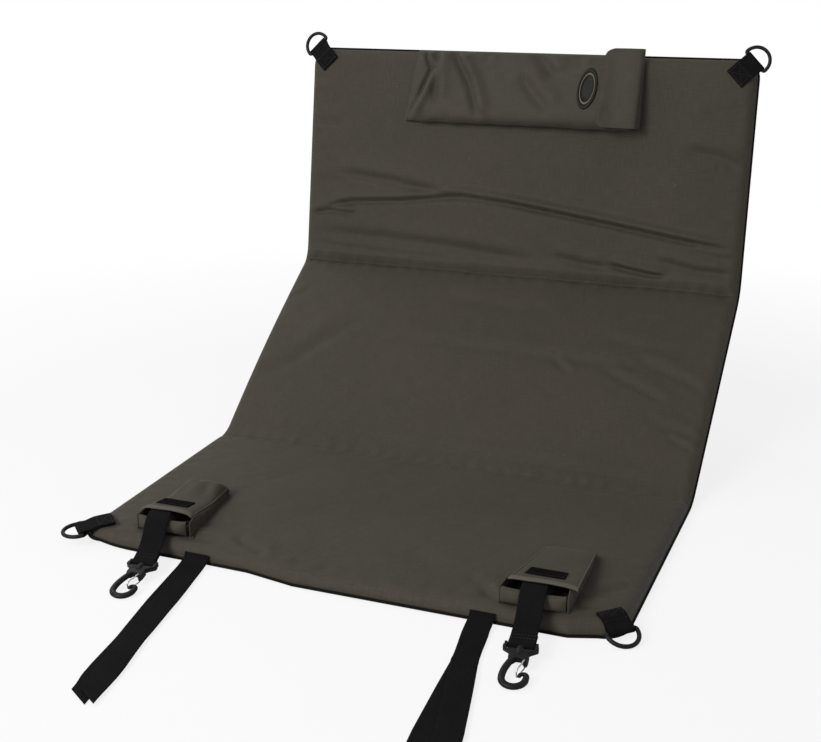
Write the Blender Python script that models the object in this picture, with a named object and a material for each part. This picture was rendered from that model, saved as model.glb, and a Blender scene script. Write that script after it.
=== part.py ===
"""Folding unhooking mat: three padded panels joined by two fabric folds.

The front panel lies flat, the middle panel rises from the front fold and the rear panel stands
nearly upright from the rear fold. Lengths are in metres, X runs across the mat, Y from front to
rear and Z up. The origin is the middle of the front panel's flat underside.
"""

import math

import bmesh
import bpy
from mathutils import Matrix, Vector

# Whole mat
MAT_WIDTH = 0.660
FRONT_LENGTH = 0.349
MIDDLE_LENGTH = 0.3275
REAR_LENGTH = 0.311
FOLD_HEIGHT = 0.0225
FOLD_GAP = 0.006
FRONT_FOLD_ANGLE = math.radians(34.5)
REAR_FOLD_ANGLE = math.radians(45.9)
CLEARANCE = 0.0003

# Padded panels
BASE_THICKNESS = 0.001
COVER_THICKNESS = 0.0012
EDGE_HEIGHT = 0.019
CROWN_RISE = 0.003
CROWN_REACH = 0.120
ROLL_RADIUS = 0.014
FOLD_ROLL = 0.011
OUTER_CORNER = 0.025
FOLD_CORNER = 0.006
INNER_CORNER_SHARE = 0.3
FRONT_EDGE_BOWS = (
    (-0.3257, 0.0),
    (-0.3007, -0.0035),
    (-0.180, -0.003),
    (-0.105, -0.001),
    (-0.042, 0.0105),
    (0.271, 0.0120),
    (0.3007, 0.0020),
    (0.3257, 0.0),
)
BOW_REACH = 0.120
BOW_STEP = 0.005
WEB_THICKNESS = 0.0012
WEB_LENGTH = 0.015
WEB_LEVEL_LENGTH = 0.0015
WEB_LIFT = 0.0001
PIPING_RADIUS = 0.002
PIPING_HEIGHT = 0.003
ROLL_STEPS = 4
CROWN_SHARES = (0.3, 0.65, 1.0)
EDGE_SHARES = (0.14, 0.35, 0.6, 0.9)
SIDE_SHARES = (0.33, 0.67)
CORNER_STEPS = 4

# Webbing
WEBBING_THICKNESS = 0.0015
HOOK_WEBBING_WIDTH = 0.027
TAB_WEBBING_WIDTH = 0.0295
TIE_WEBBING_WIDTH = 0.028
ROUND_STEPS = 16

# Corner tabs and D-rings
TAB_START = {"front_left": -0.006, "front_right": 0.006, "rear_left": -0.003, "rear_right": -0.003}
TAB_SHIFT = {"front_left": 0.006, "front_right": 0.0, "rear_left": 0.007, "rear_right": -0.002}
TAB_REACH = {"front_left": 0.0338, "front_right": 0.0310, "rear_left": 0.0320, "rear_right": 0.0310}
TAB_LOOP_HEIGHT = {"front_left": 0.0145, "front_right": 0.0105, "rear_left": 0.0140, "rear_right": 0.0140}
TAB_LAYERS = 2
RING_RADIUS = 0.0024
RING_SIDE_PLAY = 0.0005
RING_SHOULDER = 0.0025
RING_ARC_STEPS = 12
RING_TILT = {"front_left": math.radians(-3), "rear_left": math.radians(-6), "rear_right": math.radians(-8)}

# Tie straps
TIE_LENGTH = 0.290
TIE_PLIES = 2
TIE_START_ANGLE = math.radians(27)
TIE_BEND_ANGLE = math.radians(12)
TIE_BEND_REACH = 0.0066
TIE_BEND_HEIGHT = 0.0050
TIE_LANDING = 0.016
TIE_X = {"left": -0.1691, "right": 0.1795}
TIE_YAW = {"left": math.radians(8.9), "right": math.radians(8.8)}
TIE_END_SKEW = {"left": 0.014, "right": 0.0}
TIE_STEPS = 12
TIE_SPLAY_SHARES = {
    "left": ((0.0, 1.16), (0.30, 1.27), (0.60, 1.17), (0.80, 1.33), (1.0, 1.33)),
    "right": ((0.0, 1.02), (0.16, 0.95), (0.22, 0.95), (0.42, 1.29), (0.72, 1.73), (1.0, 1.90)),
}

# Hook pouches
POUCH_X = {"left": -0.2250, "right": 0.2300}
POUCH_SETBACK = {"left": 0.029, "right": 0.0075}
POUCH_LENGTH = {"left": 0.125, "right": 0.137}
POUCH_FRONT_HALF = {"left": 0.0345, "right": 0.0365}
POUCH_REAR_HALF = {"left": 0.0275, "right": 0.0290}
POUCH_CORNER = 0.008
POUCH_WALL = 0.0012
POUCH_BULGE = 0.0015
POUCH_REAR_DEPTH = 0.004
POUCH_LIP_HEIGHT = 0.0365
POUCH_LIP_LENGTH = 0.020
FLAP_X = {"left": -0.2290, "right": 0.2355}
FLAP_LENGTH = {"left": 0.1115, "right": 0.123}
FLAP_FRONT_HALF = {"left": 0.0325, "right": 0.0380}
FLAP_REAR_HALF = {"left": 0.0265, "right": 0.0275}
FLAP_THICKNESS = 0.002
FLAP_TOP_HEIGHT = 0.0430
HEM_LENGTH = 0.004
HEM_RISE = 0.0006
PATCH_WIDTH = 0.042
PATCH_LENGTH = 0.017
PATCH_THICKNESS = 0.0012
PATCH_SETBACK = 0.0165
PATCH_SHIFT = 0.003

# Hook straps
ROOT_REAR_SETBACK = 0.016
ROOT_FLOOR_END = 0.060
ROOT_TURN_LENGTH = 0.020
ROOT_CLIMB = ((0.034, 0.0325), (0.015, 0.0390), (0.004, 0.0400))
TAIL_PIVOT_REACH = 0.0033
TAIL_PIVOT_HEIGHT = 0.0394
TAIL_LENGTH = {"left": 0.0648, "right": 0.0648}
TAIL_YAW = {"left": math.radians(16.5), "right": math.radians(7.5)}
TAIL_LEVEL_LENGTH = 0.001
TAIL_SAG_SHARES = (
    (0.10, 0.11),
    (0.24, 0.42),
    (0.45, 0.74),
    (0.70, 0.93),
    (0.88, 0.99),
    (1.0, 1.0),
)
STRAP_X = {"left": -0.2305, "right": 0.2302}

# Swivel clips
CLIP_BAR_HEIGHT = 0.0125
CLIP_YAW = {"left": math.radians(5.0), "right": math.radians(8.5)}
CLIP_PITCH = math.radians(9.0)
BAR_RADIUS = 0.0022
BAR_SIDE_PLAY = 0.0006
EAR_WIDTH = 0.0035
EAR_LENGTH = 0.0065
CLIP_THICKNESS = 0.006
YOKE_START = 0.0075
YOKE_END = 0.0130
YOKE_WIDTH = 0.022
BARREL_RADIUS = 0.0052
STEM_RADIUS = 0.003
STEM_PLAY = 0.0005
STEM_HEAD_RADIUS = 0.0042
STEM_HEAD_LENGTH = 0.002
CUT_OVERRUN = 0.002
BAR_COVER_SHARE = 0.25

# Snap hooks
NECK_LENGTH = 0.0090
NECK_HALF = 0.0103
NECK_THICKNESS = 0.0072
NECK_BEVEL = 0.001
BOSS_TIP_REACH = 0.0155
BOSS_HALF = 0.0026
SHANK_HALF = 0.0036
HOOK_HALF_THICKNESS = 0.003
BEND_RADIUS = 0.0118
BEND_REACH = 0.0495
CURL_RADIUS = 0.0034
CURL_RISE = 0.0040
CURL_WIRE_HALF = 0.0021
CURL_TURN = math.radians(205)
BEND_STEPS = 9
CURL_STEPS = 7
SWEEP_SIDES = 10
SHOULDER_SHARES = (0.45, 0.6)
SHANK_SHARES = (0.72, 1.35)
KNEE_SHARE = 0.94
NECK_THROAT_SHARE = 0.98
NECK_SHANK_SHARES = (0.86, 0.42)
NECK_NOTCH_SHARE = 0.22
BOSS_TIP_SHARES = (0.3, 0.7)

# Wire gates
GATE_WIRE_RADIUS = 0.0007
GATE_HOLE_PLAY = 0.0003
GATE_PIVOT_REACH = 0.0255
GATE_PIVOT_X = 0.0076
GATE_PIN_DEPTH = 0.0022
GATE_NOSE = 0.0022
NOSE_RISE_SHARE = 0.5

# Rear pocket
POCKET_LEFT = -0.170
POCKET_MOUTH = 0.168
POCKET_HEIGHT = 0.100
POCKET_PUFF = 0.025
POCKET_WALL = 0.0012
POCKET_PROFILE_SHARES = (
    (0.00, 0.00),
    (-0.04, 0.32),
    (-0.03, 0.68),
    (0.04, 0.94),
    (0.12, 1.00),
    (0.88, 0.34),
    (0.955, 0.16),
    (0.965, -0.14),
    (0.81, 0.00),
)
POCKET_STATION_SHARES = (
    (0.0, 0.30),
    (0.05, 0.62),
    (0.18, 0.92),
    (0.40, 1.0),
    (0.70, 1.0),
    (1.0, 1.0),
)
POCKET_MITRE_SHARE = 0.4
END_FLAP_LEFT = 0.123
END_FLAP_RIGHT = 0.1765
END_FLAP_THICKNESS = 0.0016
END_FLAP_BOTTOM = 0.006
END_FLAP_STAND = 0.006
END_FLAP_LIFT = 0.001
END_FLAP_CORNER = 0.006
END_FLAP_BEND_SHARES = (0.33, 0.17)

# Badge
BADGE_X = 0.103
BADGE_WIDTH = 0.027
BADGE_HEIGHT = 0.058
BADGE_THICKNESS = 0.0018
BADGE_TILT = math.radians(-6)
BADGE_PLACE_SHARE = 0.50
BADGE_RING_SHARES = ((1.0, 0.0), (1.0, 0.7), (0.93, 1.0), (0.82, 1.0), (0.77, 0.65))
BADGE_STEPS = 24

# Worked out from the sizes above
PANEL_HALF = MAT_WIDTH / 2 - 2 * PIPING_RADIUS - CLEARANCE
EDGE_ALLOWANCE = 2 * PIPING_RADIUS + CLEARANCE
FRONT_Y = -FRONT_LENGTH / 2
FRONT_AXIS_Y = FRONT_LENGTH / 2
WALL_TOP = EDGE_HEIGHT - ROLL_RADIUS
CORE_SKIN = COVER_THICKNESS + CLEARANCE
MOST_BOW = max(bow for _, bow in FRONT_EDGE_BOWS)
POUCH_FRONT_Y = {side: FRONT_Y + setback for side, setback in POUCH_SETBACK.items()}
POUCH_REAR_Y = {side: POUCH_FRONT_Y[side] + length for side, length in POUCH_LENGTH.items()}
TIE_THICKNESS = TIE_PLIES * WEBBING_THICKNESS
LOOP_BORE_RADIUS = BAR_RADIUS + CLEARANCE
LOOP_OUTER_RADIUS = LOOP_BORE_RADIUS + WEBBING_THICKNESS
LOOP_MID_RADIUS = LOOP_BORE_RADIUS + WEBBING_THICKNESS / 2
CLIP_HALF = HOOK_WEBBING_WIDTH / 2 + BAR_SIDE_PLAY + EAR_WIDTH
RIGHT_ANGLE = math.pi / 2
HALFWAY_SHARE = 0.5
SIDES = {"left": -1, "right": 1}
FRONT_TO_REAR = {"front": -1, "rear": 1}


def clear_scene():
    for item in list(bpy.data.objects):
        bpy.data.objects.remove(item, do_unlink=True)


def material(name, colour, roughness, metallic=0.0):
    made = bpy.data.materials.new(name)
    made.use_nodes = True
    shader = made.node_tree.nodes["Principled BSDF"]
    shader.inputs["Base Color"].default_value = (*colour, 1.0)
    shader.inputs["Roughness"].default_value = roughness
    shader.inputs["Metallic"].default_value = metallic
    return made


def frame(name, location, rotation=(0.0, 0.0, 0.0), parent=None):
    """An empty that carries pieces; a moving piece's frame lies on its joint's axis."""
    made = bpy.data.objects.new(name, None)
    bpy.context.scene.collection.objects.link(made)
    made.location = location
    made.rotation_euler = rotation
    made.parent = parent
    return made


def add(name, mesh, finish, parent=None, smooth_angle=math.radians(40)):
    """An object made from a bmesh, with its normals facing out."""
    bmesh.ops.recalc_face_normals(mesh, faces=mesh.faces)
    data = bpy.data.meshes.new(name)
    mesh.to_mesh(data)
    mesh.free()
    data.materials.append(finish)
    data.shade_smooth()
    data.set_sharp_from_angle(angle=smooth_angle)
    made = bpy.data.objects.new(name, data)
    bpy.context.scene.collection.objects.link(made)
    made.parent = parent
    return made


def add_tool(name, mesh, parent):
    """A helper for a Boolean, left out of the part."""
    made = add(name, mesh, FINISHES["plastic"], parent)
    made.hide_render = True
    made.display_type = "WIRE"
    return made


def join_shape(target, tool, operation):
    modifier = target.modifiers.new(f"{operation.lower()} {tool.name}", "BOOLEAN")
    modifier.object = tool
    modifier.operation = operation
    modifier.solver = "EXACT"


def tube(name, points, radius, finish, parent, cyclic=False, resolution=2):
    """A round tube along points."""
    data = bpy.data.curves.new(name, "CURVE")
    data.dimensions = "3D"
    data.bevel_depth = radius
    data.bevel_resolution = resolution
    data.use_fill_caps = True
    spline = data.splines.new("POLY")
    spline.points.add(len(points) - 1)
    for spot, point in zip(spline.points, points):
        spot.co = (*point, 1.0)
    spline.use_cyclic_u = cyclic
    data.materials.append(finish)
    made = bpy.data.objects.new(name, data)
    bpy.context.scene.collection.objects.link(made)
    made.parent = parent
    return made


def strip_cap(mesh, ring):
    """Closes a ring that is symmetric about its middle with strips from side to side."""
    last = len(ring) - 1
    for i in range(len(ring) // 2 - 1):
        mesh.faces.new((ring[i], ring[i + 1], ring[last - i - 1], ring[last - i]))


def loft(rings, caps=strip_cap):
    """A closed solid through rings of as many points each."""
    mesh = bmesh.new()
    layers = [[mesh.verts.new(point) for point in ring] for ring in rings]
    for lower, upper in zip(layers, layers[1:]):
        for i in range(len(lower)):
            j = (i + 1) % len(lower)
            mesh.faces.new((lower[i], lower[j], upper[j], upper[i]))
    for ring in (layers[0], layers[-1]):
        caps(mesh, ring)
    return mesh


def plain_cap(mesh, ring):
    mesh.faces.new(ring)


def ribbon(points, widths, thickness):
    """A flat band along points; widths are vectors from the band's middle to its edge."""
    mesh = bmesh.new()
    layers = []
    for i, (point, width) in enumerate(zip(points, widths)):
        before = points[max(i - 1, 0)]
        after = points[min(i + 1, len(points) - 1)]
        normal = width.cross(after - before).normalized() * (thickness / 2)
        low, high = point - normal, point + normal
        corners = (low - width, low + width, high + width, high - width)
        layers.append([mesh.verts.new(corner) for corner in corners])
    for near, far in zip(layers, layers[1:]):
        for a, b in ((0, 1), (3, 2)):
            mesh.faces.new((near[a], near[b], far[b]))
            mesh.faces.new((near[a], far[b], far[a]))
        for a, b in ((1, 2), (3, 0)):
            mesh.faces.new((near[a], near[b], far[b], far[a]))
    mesh.faces.new(layers[0])
    mesh.faces.new(layers[-1])
    return mesh


def slab(stations):
    """A flat piece along Y through stations of (y, half width, bottom, top)."""
    rings = [
        [(-half, y, low), (half, y, low), (half, y, high), (-half, y, high)]
        for y, half, low, high in stations
    ]
    return loft(rings, plain_cap)


def cylinder(radius, length, matrix, steps=ROUND_STEPS):
    """A round bar centred at matrix's origin, along its Z axis."""
    mesh = bmesh.new()
    bmesh.ops.create_cone(
        mesh,
        cap_ends=True,
        segments=steps,
        radius1=radius,
        radius2=radius,
        depth=length,
        matrix=matrix,
    )
    return mesh


def along_x(location):
    return Matrix.Translation(location) @ Matrix.Rotation(RIGHT_ANGLE, 4, "Y")


def along_y(location):
    return Matrix.Translation(location) @ Matrix.Rotation(RIGHT_ANGLE, 4, "X")


def arc(centre, radius, start, end, steps):
    """Points on an arc in a plane, both ends among them."""
    turns = [start + (end - start) * i / steps for i in range(steps + 1)]
    return [(centre[0] + radius * math.cos(a), centre[1] + radius * math.sin(a)) for a in turns]


def outline(halves, ends, corners, edge_shares=EDGE_SHARES, side_shares=SIDE_SHARES):
    """A rounded outline, symmetric in X: its front and rear half widths, Y ends and corner radii."""
    front_half, rear_half = halves
    low, high = ends
    front_corner, rear_corner = corners
    right = [(share * (front_half - front_corner), low) for share in edge_shares]
    centre = (front_half - front_corner, low + front_corner)
    right += arc(centre, front_corner, -RIGHT_ANGLE, 0.0, CORNER_STEPS)
    for share in side_shares:
        y = low + front_corner + share * (high - low - front_corner - rear_corner)
        right.append((front_half + share * (rear_half - front_half), y))
    centre = (rear_half - rear_corner, high - rear_corner)
    right += arc(centre, rear_corner, 0.0, RIGHT_ANGLE, CORNER_STEPS)
    right += [(share * (rear_half - rear_corner), high) for share in reversed(edge_shares)]
    return right + [(-x, y) for x, y in reversed(right)]


def share_at(place, table):
    """The value of a table of (place, value) pairs at a place, straight between its pairs."""
    place = min(max(place, table[0][0]), table[-1][0])
    for (low, first), (high, last) in zip(table, table[1:]):
        if place <= high:
            break
    return first + (last - first) * (place - low) / (high - low)


def crown_share(inset):
    """How far the crown has risen at this inset from the outer wall."""
    t = min(max(inset - ROLL_RADIUS, 0.0) / CROWN_REACH, 1.0)
    return 1 - (1 - t) ** 2


def cover_height(inset):
    """Height of the top cover above the base at this inset from the outer wall."""
    if inset >= ROLL_RADIUS:
        return EDGE_HEIGHT + CROWN_RISE * crown_share(inset)
    run = ROLL_RADIUS - max(inset, 0.0)
    return WALL_TOP + math.sqrt(ROLL_RADIUS**2 - run**2)


class Panel:
    """One padded panel in its own frame, whose Y runs from its front to its rear end."""

    def __init__(self, name, carrier, low, high, base, outer_front, outer_rear):
        self.name = name
        self.carrier = carrier
        self.low = low
        self.high = high
        self.base = base
        self.outer_front = outer_front
        self.outer_rear = outer_rear

    def corner(self, is_outer):
        return OUTER_CORNER if is_outer else FOLD_CORNER

    def bowed(self, x, y):
        """The front edge's own line, forward of straight where its bow is more than nothing."""
        if not self.outer_front:
            return y
        fade = min(max(1 - (y - self.low) / BOW_REACH, 0.0), 1.0) ** 2
        return y - share_at(x, FRONT_EDGE_BOWS) * fade

    def ring(self, side, fold, height):
        """The panel's outline drawn in by side at its outer walls and by fold at its folds."""
        front = side if self.outer_front else fold
        rear = side if self.outer_rear else fold
        corners = []
        for radius, inset in ((self.corner(self.outer_front), front), (self.corner(self.outer_rear), rear)):
            corners.append(max(radius - inset, radius * INNER_CORNER_SHARE))
        half = PANEL_HALF - side
        points = outline((half, half), (self.low + front, self.high - rear), corners)
        return [Vector((x, self.bowed(x, y), self.base + height)) for x, y in points]

    def rings(self, skin, bottom):
        """Rings from the bottom edge over the rolled edge to the crown, skin inside the cover."""
        made = [self.ring(skin, skin, bottom)]
        for i in range(ROLL_STEPS + 1):
            turn = RIGHT_ANGLE * i / ROLL_STEPS
            side = ROLL_RADIUS - (ROLL_RADIUS - skin) * math.cos(turn)
            fold = FOLD_ROLL - (FOLD_ROLL - skin) * math.cos(turn)
            made.append(self.ring(side, fold, WALL_TOP + (ROLL_RADIUS - skin) * math.sin(turn)))
        for share in CROWN_SHARES:
            reach = CROWN_REACH * share
            height = EDGE_HEIGHT - skin + CROWN_RISE * crown_share(ROLL_RADIUS + reach)
            made.append(self.ring(ROLL_RADIUS + reach, FOLD_ROLL + reach, height))
        return made

    def build(self):
        bottom = BASE_THICKNESS + CLEARANCE
        outer = self.rings(0.0, bottom)
        inner = self.rings(COVER_THICKNESS, bottom)
        add(f"{self.name}_top_cover", loft(inner[::-1] + outer), FINISHES["cover"], self.carrier)
        core = self.rings(CORE_SKIN, bottom)
        add(f"{self.name}_foam_core", loft(core), FINISHES["foam"], self.carrier)
        base = [self.ring(0.0, 0.0, height) for height in (0.0, BASE_THICKNESS)]
        add(f"{self.name}_base_cover", loft(base), FINISHES["base"], self.carrier)
        self.build_piping()

    def edge_run(self, sign):
        """The piping's route along one half of the outer edge, front to rear."""
        out = PIPING_RADIUS + CLEARANCE
        half = PANEL_HALF + out
        radius = OUTER_CORNER + out
        run = []
        if self.outer_front:
            low = self.low - out
            run += [(share * (half - radius), low) for share in EDGE_SHARES]
            run += arc((half - radius, low + radius), radius, -RIGHT_ANGLE, 0.0, CORNER_STEPS)
            run.append((half, self.high))
        elif self.outer_rear:
            high = self.high + out
            run.append((half, self.low))
            run += arc((half - radius, high - radius), radius, 0.0, RIGHT_ANGLE, CORNER_STEPS)
            run += [(share * (half - radius), high) for share in reversed(EDGE_SHARES)]
        else:
            run += [(half, self.low), (half, self.high)]
        height = self.base + PIPING_HEIGHT
        return [Vector((sign * x, self.bowed(sign * x, y), height)) for x, y in run]

    def build_piping(self):
        left, right = (self.edge_run(sign) for sign in SIDES.values())
        if self.outer_front:
            runs = {"": left[::-1] + right}
        elif self.outer_rear:
            runs = {"": right + left[::-1]}
        else:
            runs = {"_left": left, "_right": right}
        for suffix, points in runs.items():
            tube(f"{self.name}_piping{suffix}", points, PIPING_RADIUS, FINISHES["webbing"], self.carrier)


def build_fold_web(name, panel, axis_y, way):
    """Half of a fold's fabric: it is sewn on the panel's rolled edge and meets its other half on the axis."""
    height = panel.base + FOLD_HEIGHT - WEB_THICKNESS / 2
    sewn = panel.base + EDGE_HEIGHT + CLEARANCE + WEB_THICKNESS / 2 + WEB_LIFT
    path = [(CLEARANCE / 2, height), (WEB_LEVEL_LENGTH, height), (WEB_LENGTH, sewn)]
    points = [Vector((0.0, axis_y + way * reach, z)) for reach, z in path]
    half = Vector((PANEL_HALF - ROLL_RADIUS, 0.0, 0.0))
    add(name, ribbon(points, [half] * len(points), WEB_THICKNESS), FINISHES["cover"], panel.carrier)


def build_corner(panel, end, side):
    """A folded webbing tab sewn on a corner, and the D-ring whose bar lies in its loop."""
    name = f"{end}_{side}"
    way = FRONT_TO_REAR[end]
    sign = SIDES[side]
    x = sign * (PANEL_HALF - OUTER_CORNER)
    y = panel.low + OUTER_CORNER if end == "front" else panel.high - OUTER_CORNER
    turn = math.atan2(way, sign) - RIGHT_ANGLE
    shift = Matrix.Rotation(turn, 3, "Z") @ Vector((TAB_SHIFT[name], 0.0, 0.0))
    corner = frame(
        f"corner_{name}", (x + shift.x, y + shift.y, panel.base), (0.0, 0.0, turn), panel.carrier
    )
    thickness = TAB_LAYERS * WEBBING_THICKNESS
    bore = RING_RADIUS + CLEARANCE
    loop_radius = bore + WEBBING_THICKNESS
    roll = (OUTER_CORNER - ROLL_RADIUS, WALL_TOP)
    lift = CLEARANCE + thickness / 2
    radius = ROLL_RADIUS + lift
    loop = (TAB_REACH[name], TAB_LOOP_HEIGHT[name])
    away = (loop[0] - roll[0], loop[1] - roll[1])
    leave = math.atan2(away[1], away[0]) + math.acos(radius / math.hypot(*away))
    start = TAB_START[name]
    path = [(start, cover_height(OUTER_CORNER - start) + lift)]
    path += arc(roll, radius, RIGHT_ANGLE, min(leave, RIGHT_ANGLE), CORNER_STEPS)
    path.append(loop)
    points = [Vector((0.0, py, pz)) for py, pz in path]
    half = Vector((TAB_WEBBING_WIDTH / 2, 0.0, 0.0))
    band = ribbon(points, [half] * len(points), thickness)
    tab = add(f"tab_{name}", band, FINISHES["webbing"], corner)
    centre = along_x(points[-1])
    loop_tool = add_tool(f"tab_loop_{name}", cylinder(loop_radius, TAB_WEBBING_WIDTH, centre), corner)
    hole = cylinder(bore, TAB_WEBBING_WIDTH + 2 * CUT_OVERRUN, centre)
    join_shape(tab, loop_tool, "UNION")
    join_shape(tab, add_tool(f"tab_bore_{name}", hole, corner), "DIFFERENCE")
    build_ring(name, corner, points[-1])


def build_ring(name, corner, place):
    bend = TAB_WEBBING_WIDTH / 2 + RING_SIDE_PLAY + RING_RADIUS
    resting = -math.asin((place.z - RING_RADIUS - CLEARANCE) / (bend + RING_SHOULDER))
    tilt = RING_TILT.get(name, resting)
    axis = frame(f"ring_axis_{name}", place, (tilt, 0.0, 0.0), corner)
    round_end = arc((0.0, RING_SHOULDER), bend, 0.0, 2 * RIGHT_ANGLE, RING_ARC_STEPS)
    points = [Vector((bend, 0.0, 0.0))]
    points += [Vector((px, py, 0.0)) for px, py in round_end]
    points.append(Vector((-bend, 0.0, 0.0)))
    tube(f"d_ring_{name}", points, RING_RADIUS, FINISHES["plastic"], axis, cyclic=True)


def build_tie_strap(panel, side):
    """A strap folded double, its plies splayed, from the rolled front edge along the ground."""
    x = TIE_X[side]
    edge = panel.bowed(x, panel.low)
    slope = math.atan2(panel.bowed(x + BOW_STEP, panel.low) - edge, BOW_STEP)
    lift = CLEARANCE + TIE_THICKNESS / 2
    radius = ROLL_RADIUS + lift
    start = (
        ROLL_RADIUS - radius * math.cos(TIE_START_ANGLE),
        WALL_TOP + radius * math.sin(TIE_START_ANGLE),
    )
    axis = frame(f"tie_axis_{side}", (x, edge + start[0], start[1]), (0.0, 0.0, slope))
    bend = (ROLL_RADIUS - radius * math.cos(TIE_BEND_ANGLE), WALL_TOP + radius * math.sin(TIE_BEND_ANGLE))
    path = [start, bend, (-TIE_BEND_REACH, TIE_BEND_HEIGHT), (-TIE_LANDING, lift)]
    half = TIE_WEBBING_WIDTH / 2
    splay = TIE_SPLAY_SHARES[side]
    points = [Vector((0.0, py - start[0], pz - start[1])) for py, pz in path]
    yaw = TIE_YAW[side] - slope
    across = Vector((math.cos(yaw), math.sin(yaw), 0.0))
    ahead = Vector((math.sin(yaw), -math.cos(yaw), 0.0))
    widths = [Vector((half * share_at(0.0, splay), 0.0, 0.0))] * len(path)
    widths[-1] = widths[0].lerp(across * widths[0].x, HALFWAY_SHARE)
    landing = points[-1].copy()
    for step in range(1, TIE_STEPS + 1):
        share = step / TIE_STEPS
        skew = ahead * (TIE_END_SKEW[side] if step == TIE_STEPS else 0.0)
        points.append(landing + ahead * (share * (TIE_LENGTH - TIE_LANDING)))
        widths.append(across * (half * share_at(share, splay)) + skew)
    add(f"tie_strap_{side}", ribbon(points, widths, TIE_THICKNESS), FINISHES["webbing"], axis)


def pouch_floor(y):
    """Height of the pouch's underside, which follows the crowned cover."""
    return cover_height(y - FRONT_Y - EDGE_ALLOWANCE + MOST_BOW) + CLEARANCE


FLAP_UNDER_REAR = pouch_floor(max(POUCH_REAR_Y.values())) + POUCH_REAR_DEPTH + CLEARANCE
FLAP_RISE = FLAP_TOP_HEIGHT - FLAP_THICKNESS - FLAP_UNDER_REAR
FLAP_SLOPE = {side: math.asin(FLAP_RISE / length) for side, length in FLAP_LENGTH.items()}


def pouch_rim(y, side):
    """Height of the pouch's upper edge: just under the flap, then down to the front lip."""
    under_flap = FLAP_UNDER_REAR + (POUCH_REAR_Y[side] - y) * math.tan(FLAP_SLOPE[side]) - CLEARANCE
    lip_rear = POUCH_FRONT_Y[side] + POUCH_LIP_LENGTH
    if y >= lip_rear:
        return under_flap
    share = (lip_rear - y) / POUCH_LIP_LENGTH
    return under_flap + min(share, 1.0) * (POUCH_LIP_HEIGHT - under_flap)


def pouch_ring(side, inset, level, floor_rise=0.0):
    """The pouch's outline at a share of the height between its floor and its rim."""
    halves = (POUCH_FRONT_HALF[side] - inset, POUCH_REAR_HALF[side] - inset)
    ends = (POUCH_FRONT_Y[side] + inset, POUCH_REAR_Y[side] - inset)
    corner = POUCH_CORNER - inset
    points = []
    for x, y in outline(halves, ends, (corner, corner)):
        low = pouch_floor(y) + floor_rise
        points.append(Vector((x, y, low + level * (pouch_rim(y, side) - low))))
    return points


def build_pouch(side):
    """An open-topped pouch sewn on the front panel, with a flap that covers it."""
    place = frame(f"pouch_place_{side}", (POUCH_X[side], 0.0, 0.0))
    outer = [
        pouch_ring(side, 0.0, 0.0),
        pouch_ring(side, -POUCH_BULGE, HALFWAY_SHARE),
        pouch_ring(side, 0.0, 1.0),
    ]
    inner = [
        pouch_ring(side, POUCH_WALL, 1.0),
        pouch_ring(side, POUCH_WALL - POUCH_BULGE, HALFWAY_SHARE),
        pouch_ring(side, POUCH_WALL, 0.0, POUCH_WALL),
    ]
    add(f"hook_pouch_{side}", loft(outer + inner), FINISHES["cover"], place)
    axis = frame(
        f"pouch_flap_axis_{side}",
        (FLAP_X[side], POUCH_REAR_Y[side], FLAP_UNDER_REAR + FLAP_THICKNESS),
        (-FLAP_SLOPE[side], 0.0, 0.0),
    )
    length = FLAP_LENGTH[side]
    front_half = FLAP_FRONT_HALF[side]
    hem_half = front_half + (FLAP_REAR_HALF[side] - front_half) * HEM_LENGTH / length
    stations = [
        (-length, front_half, -FLAP_THICKNESS, HEM_RISE),
        (HEM_LENGTH - length, hem_half, -FLAP_THICKNESS, HEM_RISE),
        (HEM_LENGTH + HEM_RISE - length, hem_half, -FLAP_THICKNESS, 0.0),
        (0.0, FLAP_REAR_HALF[side], -FLAP_THICKNESS, 0.0),
    ]
    add(f"pouch_flap_{side}", slab(stations), FINISHES["cover"], axis)
    seat = frame(f"patch_place_{side}", (-PATCH_SHIFT, PATCH_SETBACK - length, CLEARANCE), parent=axis)
    patch = [(y, PATCH_WIDTH / 2, 0.0, PATCH_THICKNESS) for y in (0.0, PATCH_LENGTH)]
    add(f"pouch_patch_{side}", slab(patch), FINISHES["patch"], seat)


def build_hook_strap(side):
    """A strap sewn inside the pouch, whose free tail carries a swivel clip."""
    x = STRAP_X[side]
    lift = POUCH_WALL + CLEARANCE + WEBBING_THICKNESS / 2
    pivot_y = POUCH_FRONT_Y[side] - TAIL_PIVOT_REACH
    centre_z = TAIL_PIVOT_HEIGHT - WEBBING_THICKNESS / 2
    rear = POUCH_REAR_Y[side] - ROOT_REAR_SETBACK
    floor_end = POUCH_FRONT_Y[side] + ROOT_FLOOR_END
    middle = (rear + floor_end) / 2
    path = [(y, pouch_floor(y) + lift) for y in (rear, middle, floor_end)]
    path += [(POUCH_FRONT_Y[side] + y, z) for y, z in ROOT_CLIMB]
    path.append((pivot_y + TAIL_LEVEL_LENGTH, centre_z))
    path.append((pivot_y + CLEARANCE / 2, centre_z))
    points = []
    widths = []
    for y, z in path:
        run = y - pivot_y
        points.append(Vector((x - math.tan(TAIL_YAW[side]) * min(run, ROOT_TURN_LENGTH), y, z)))
        turn = TAIL_YAW[side] * max(1 - run / ROOT_TURN_LENGTH, 0.0)
        widths.append(Vector((math.cos(turn), math.sin(turn), 0.0)) * (HOOK_WEBBING_WIDTH / 2))
    add(f"hook_strap_root_{side}", ribbon(points, widths, WEBBING_THICKNESS), FINISHES["webbing"])
    axis = frame(f"tail_axis_{side}", (x, pivot_y, TAIL_PIVOT_HEIGHT), (0.0, 0.0, TAIL_YAW[side]))
    build_tail(side, axis)


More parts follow.
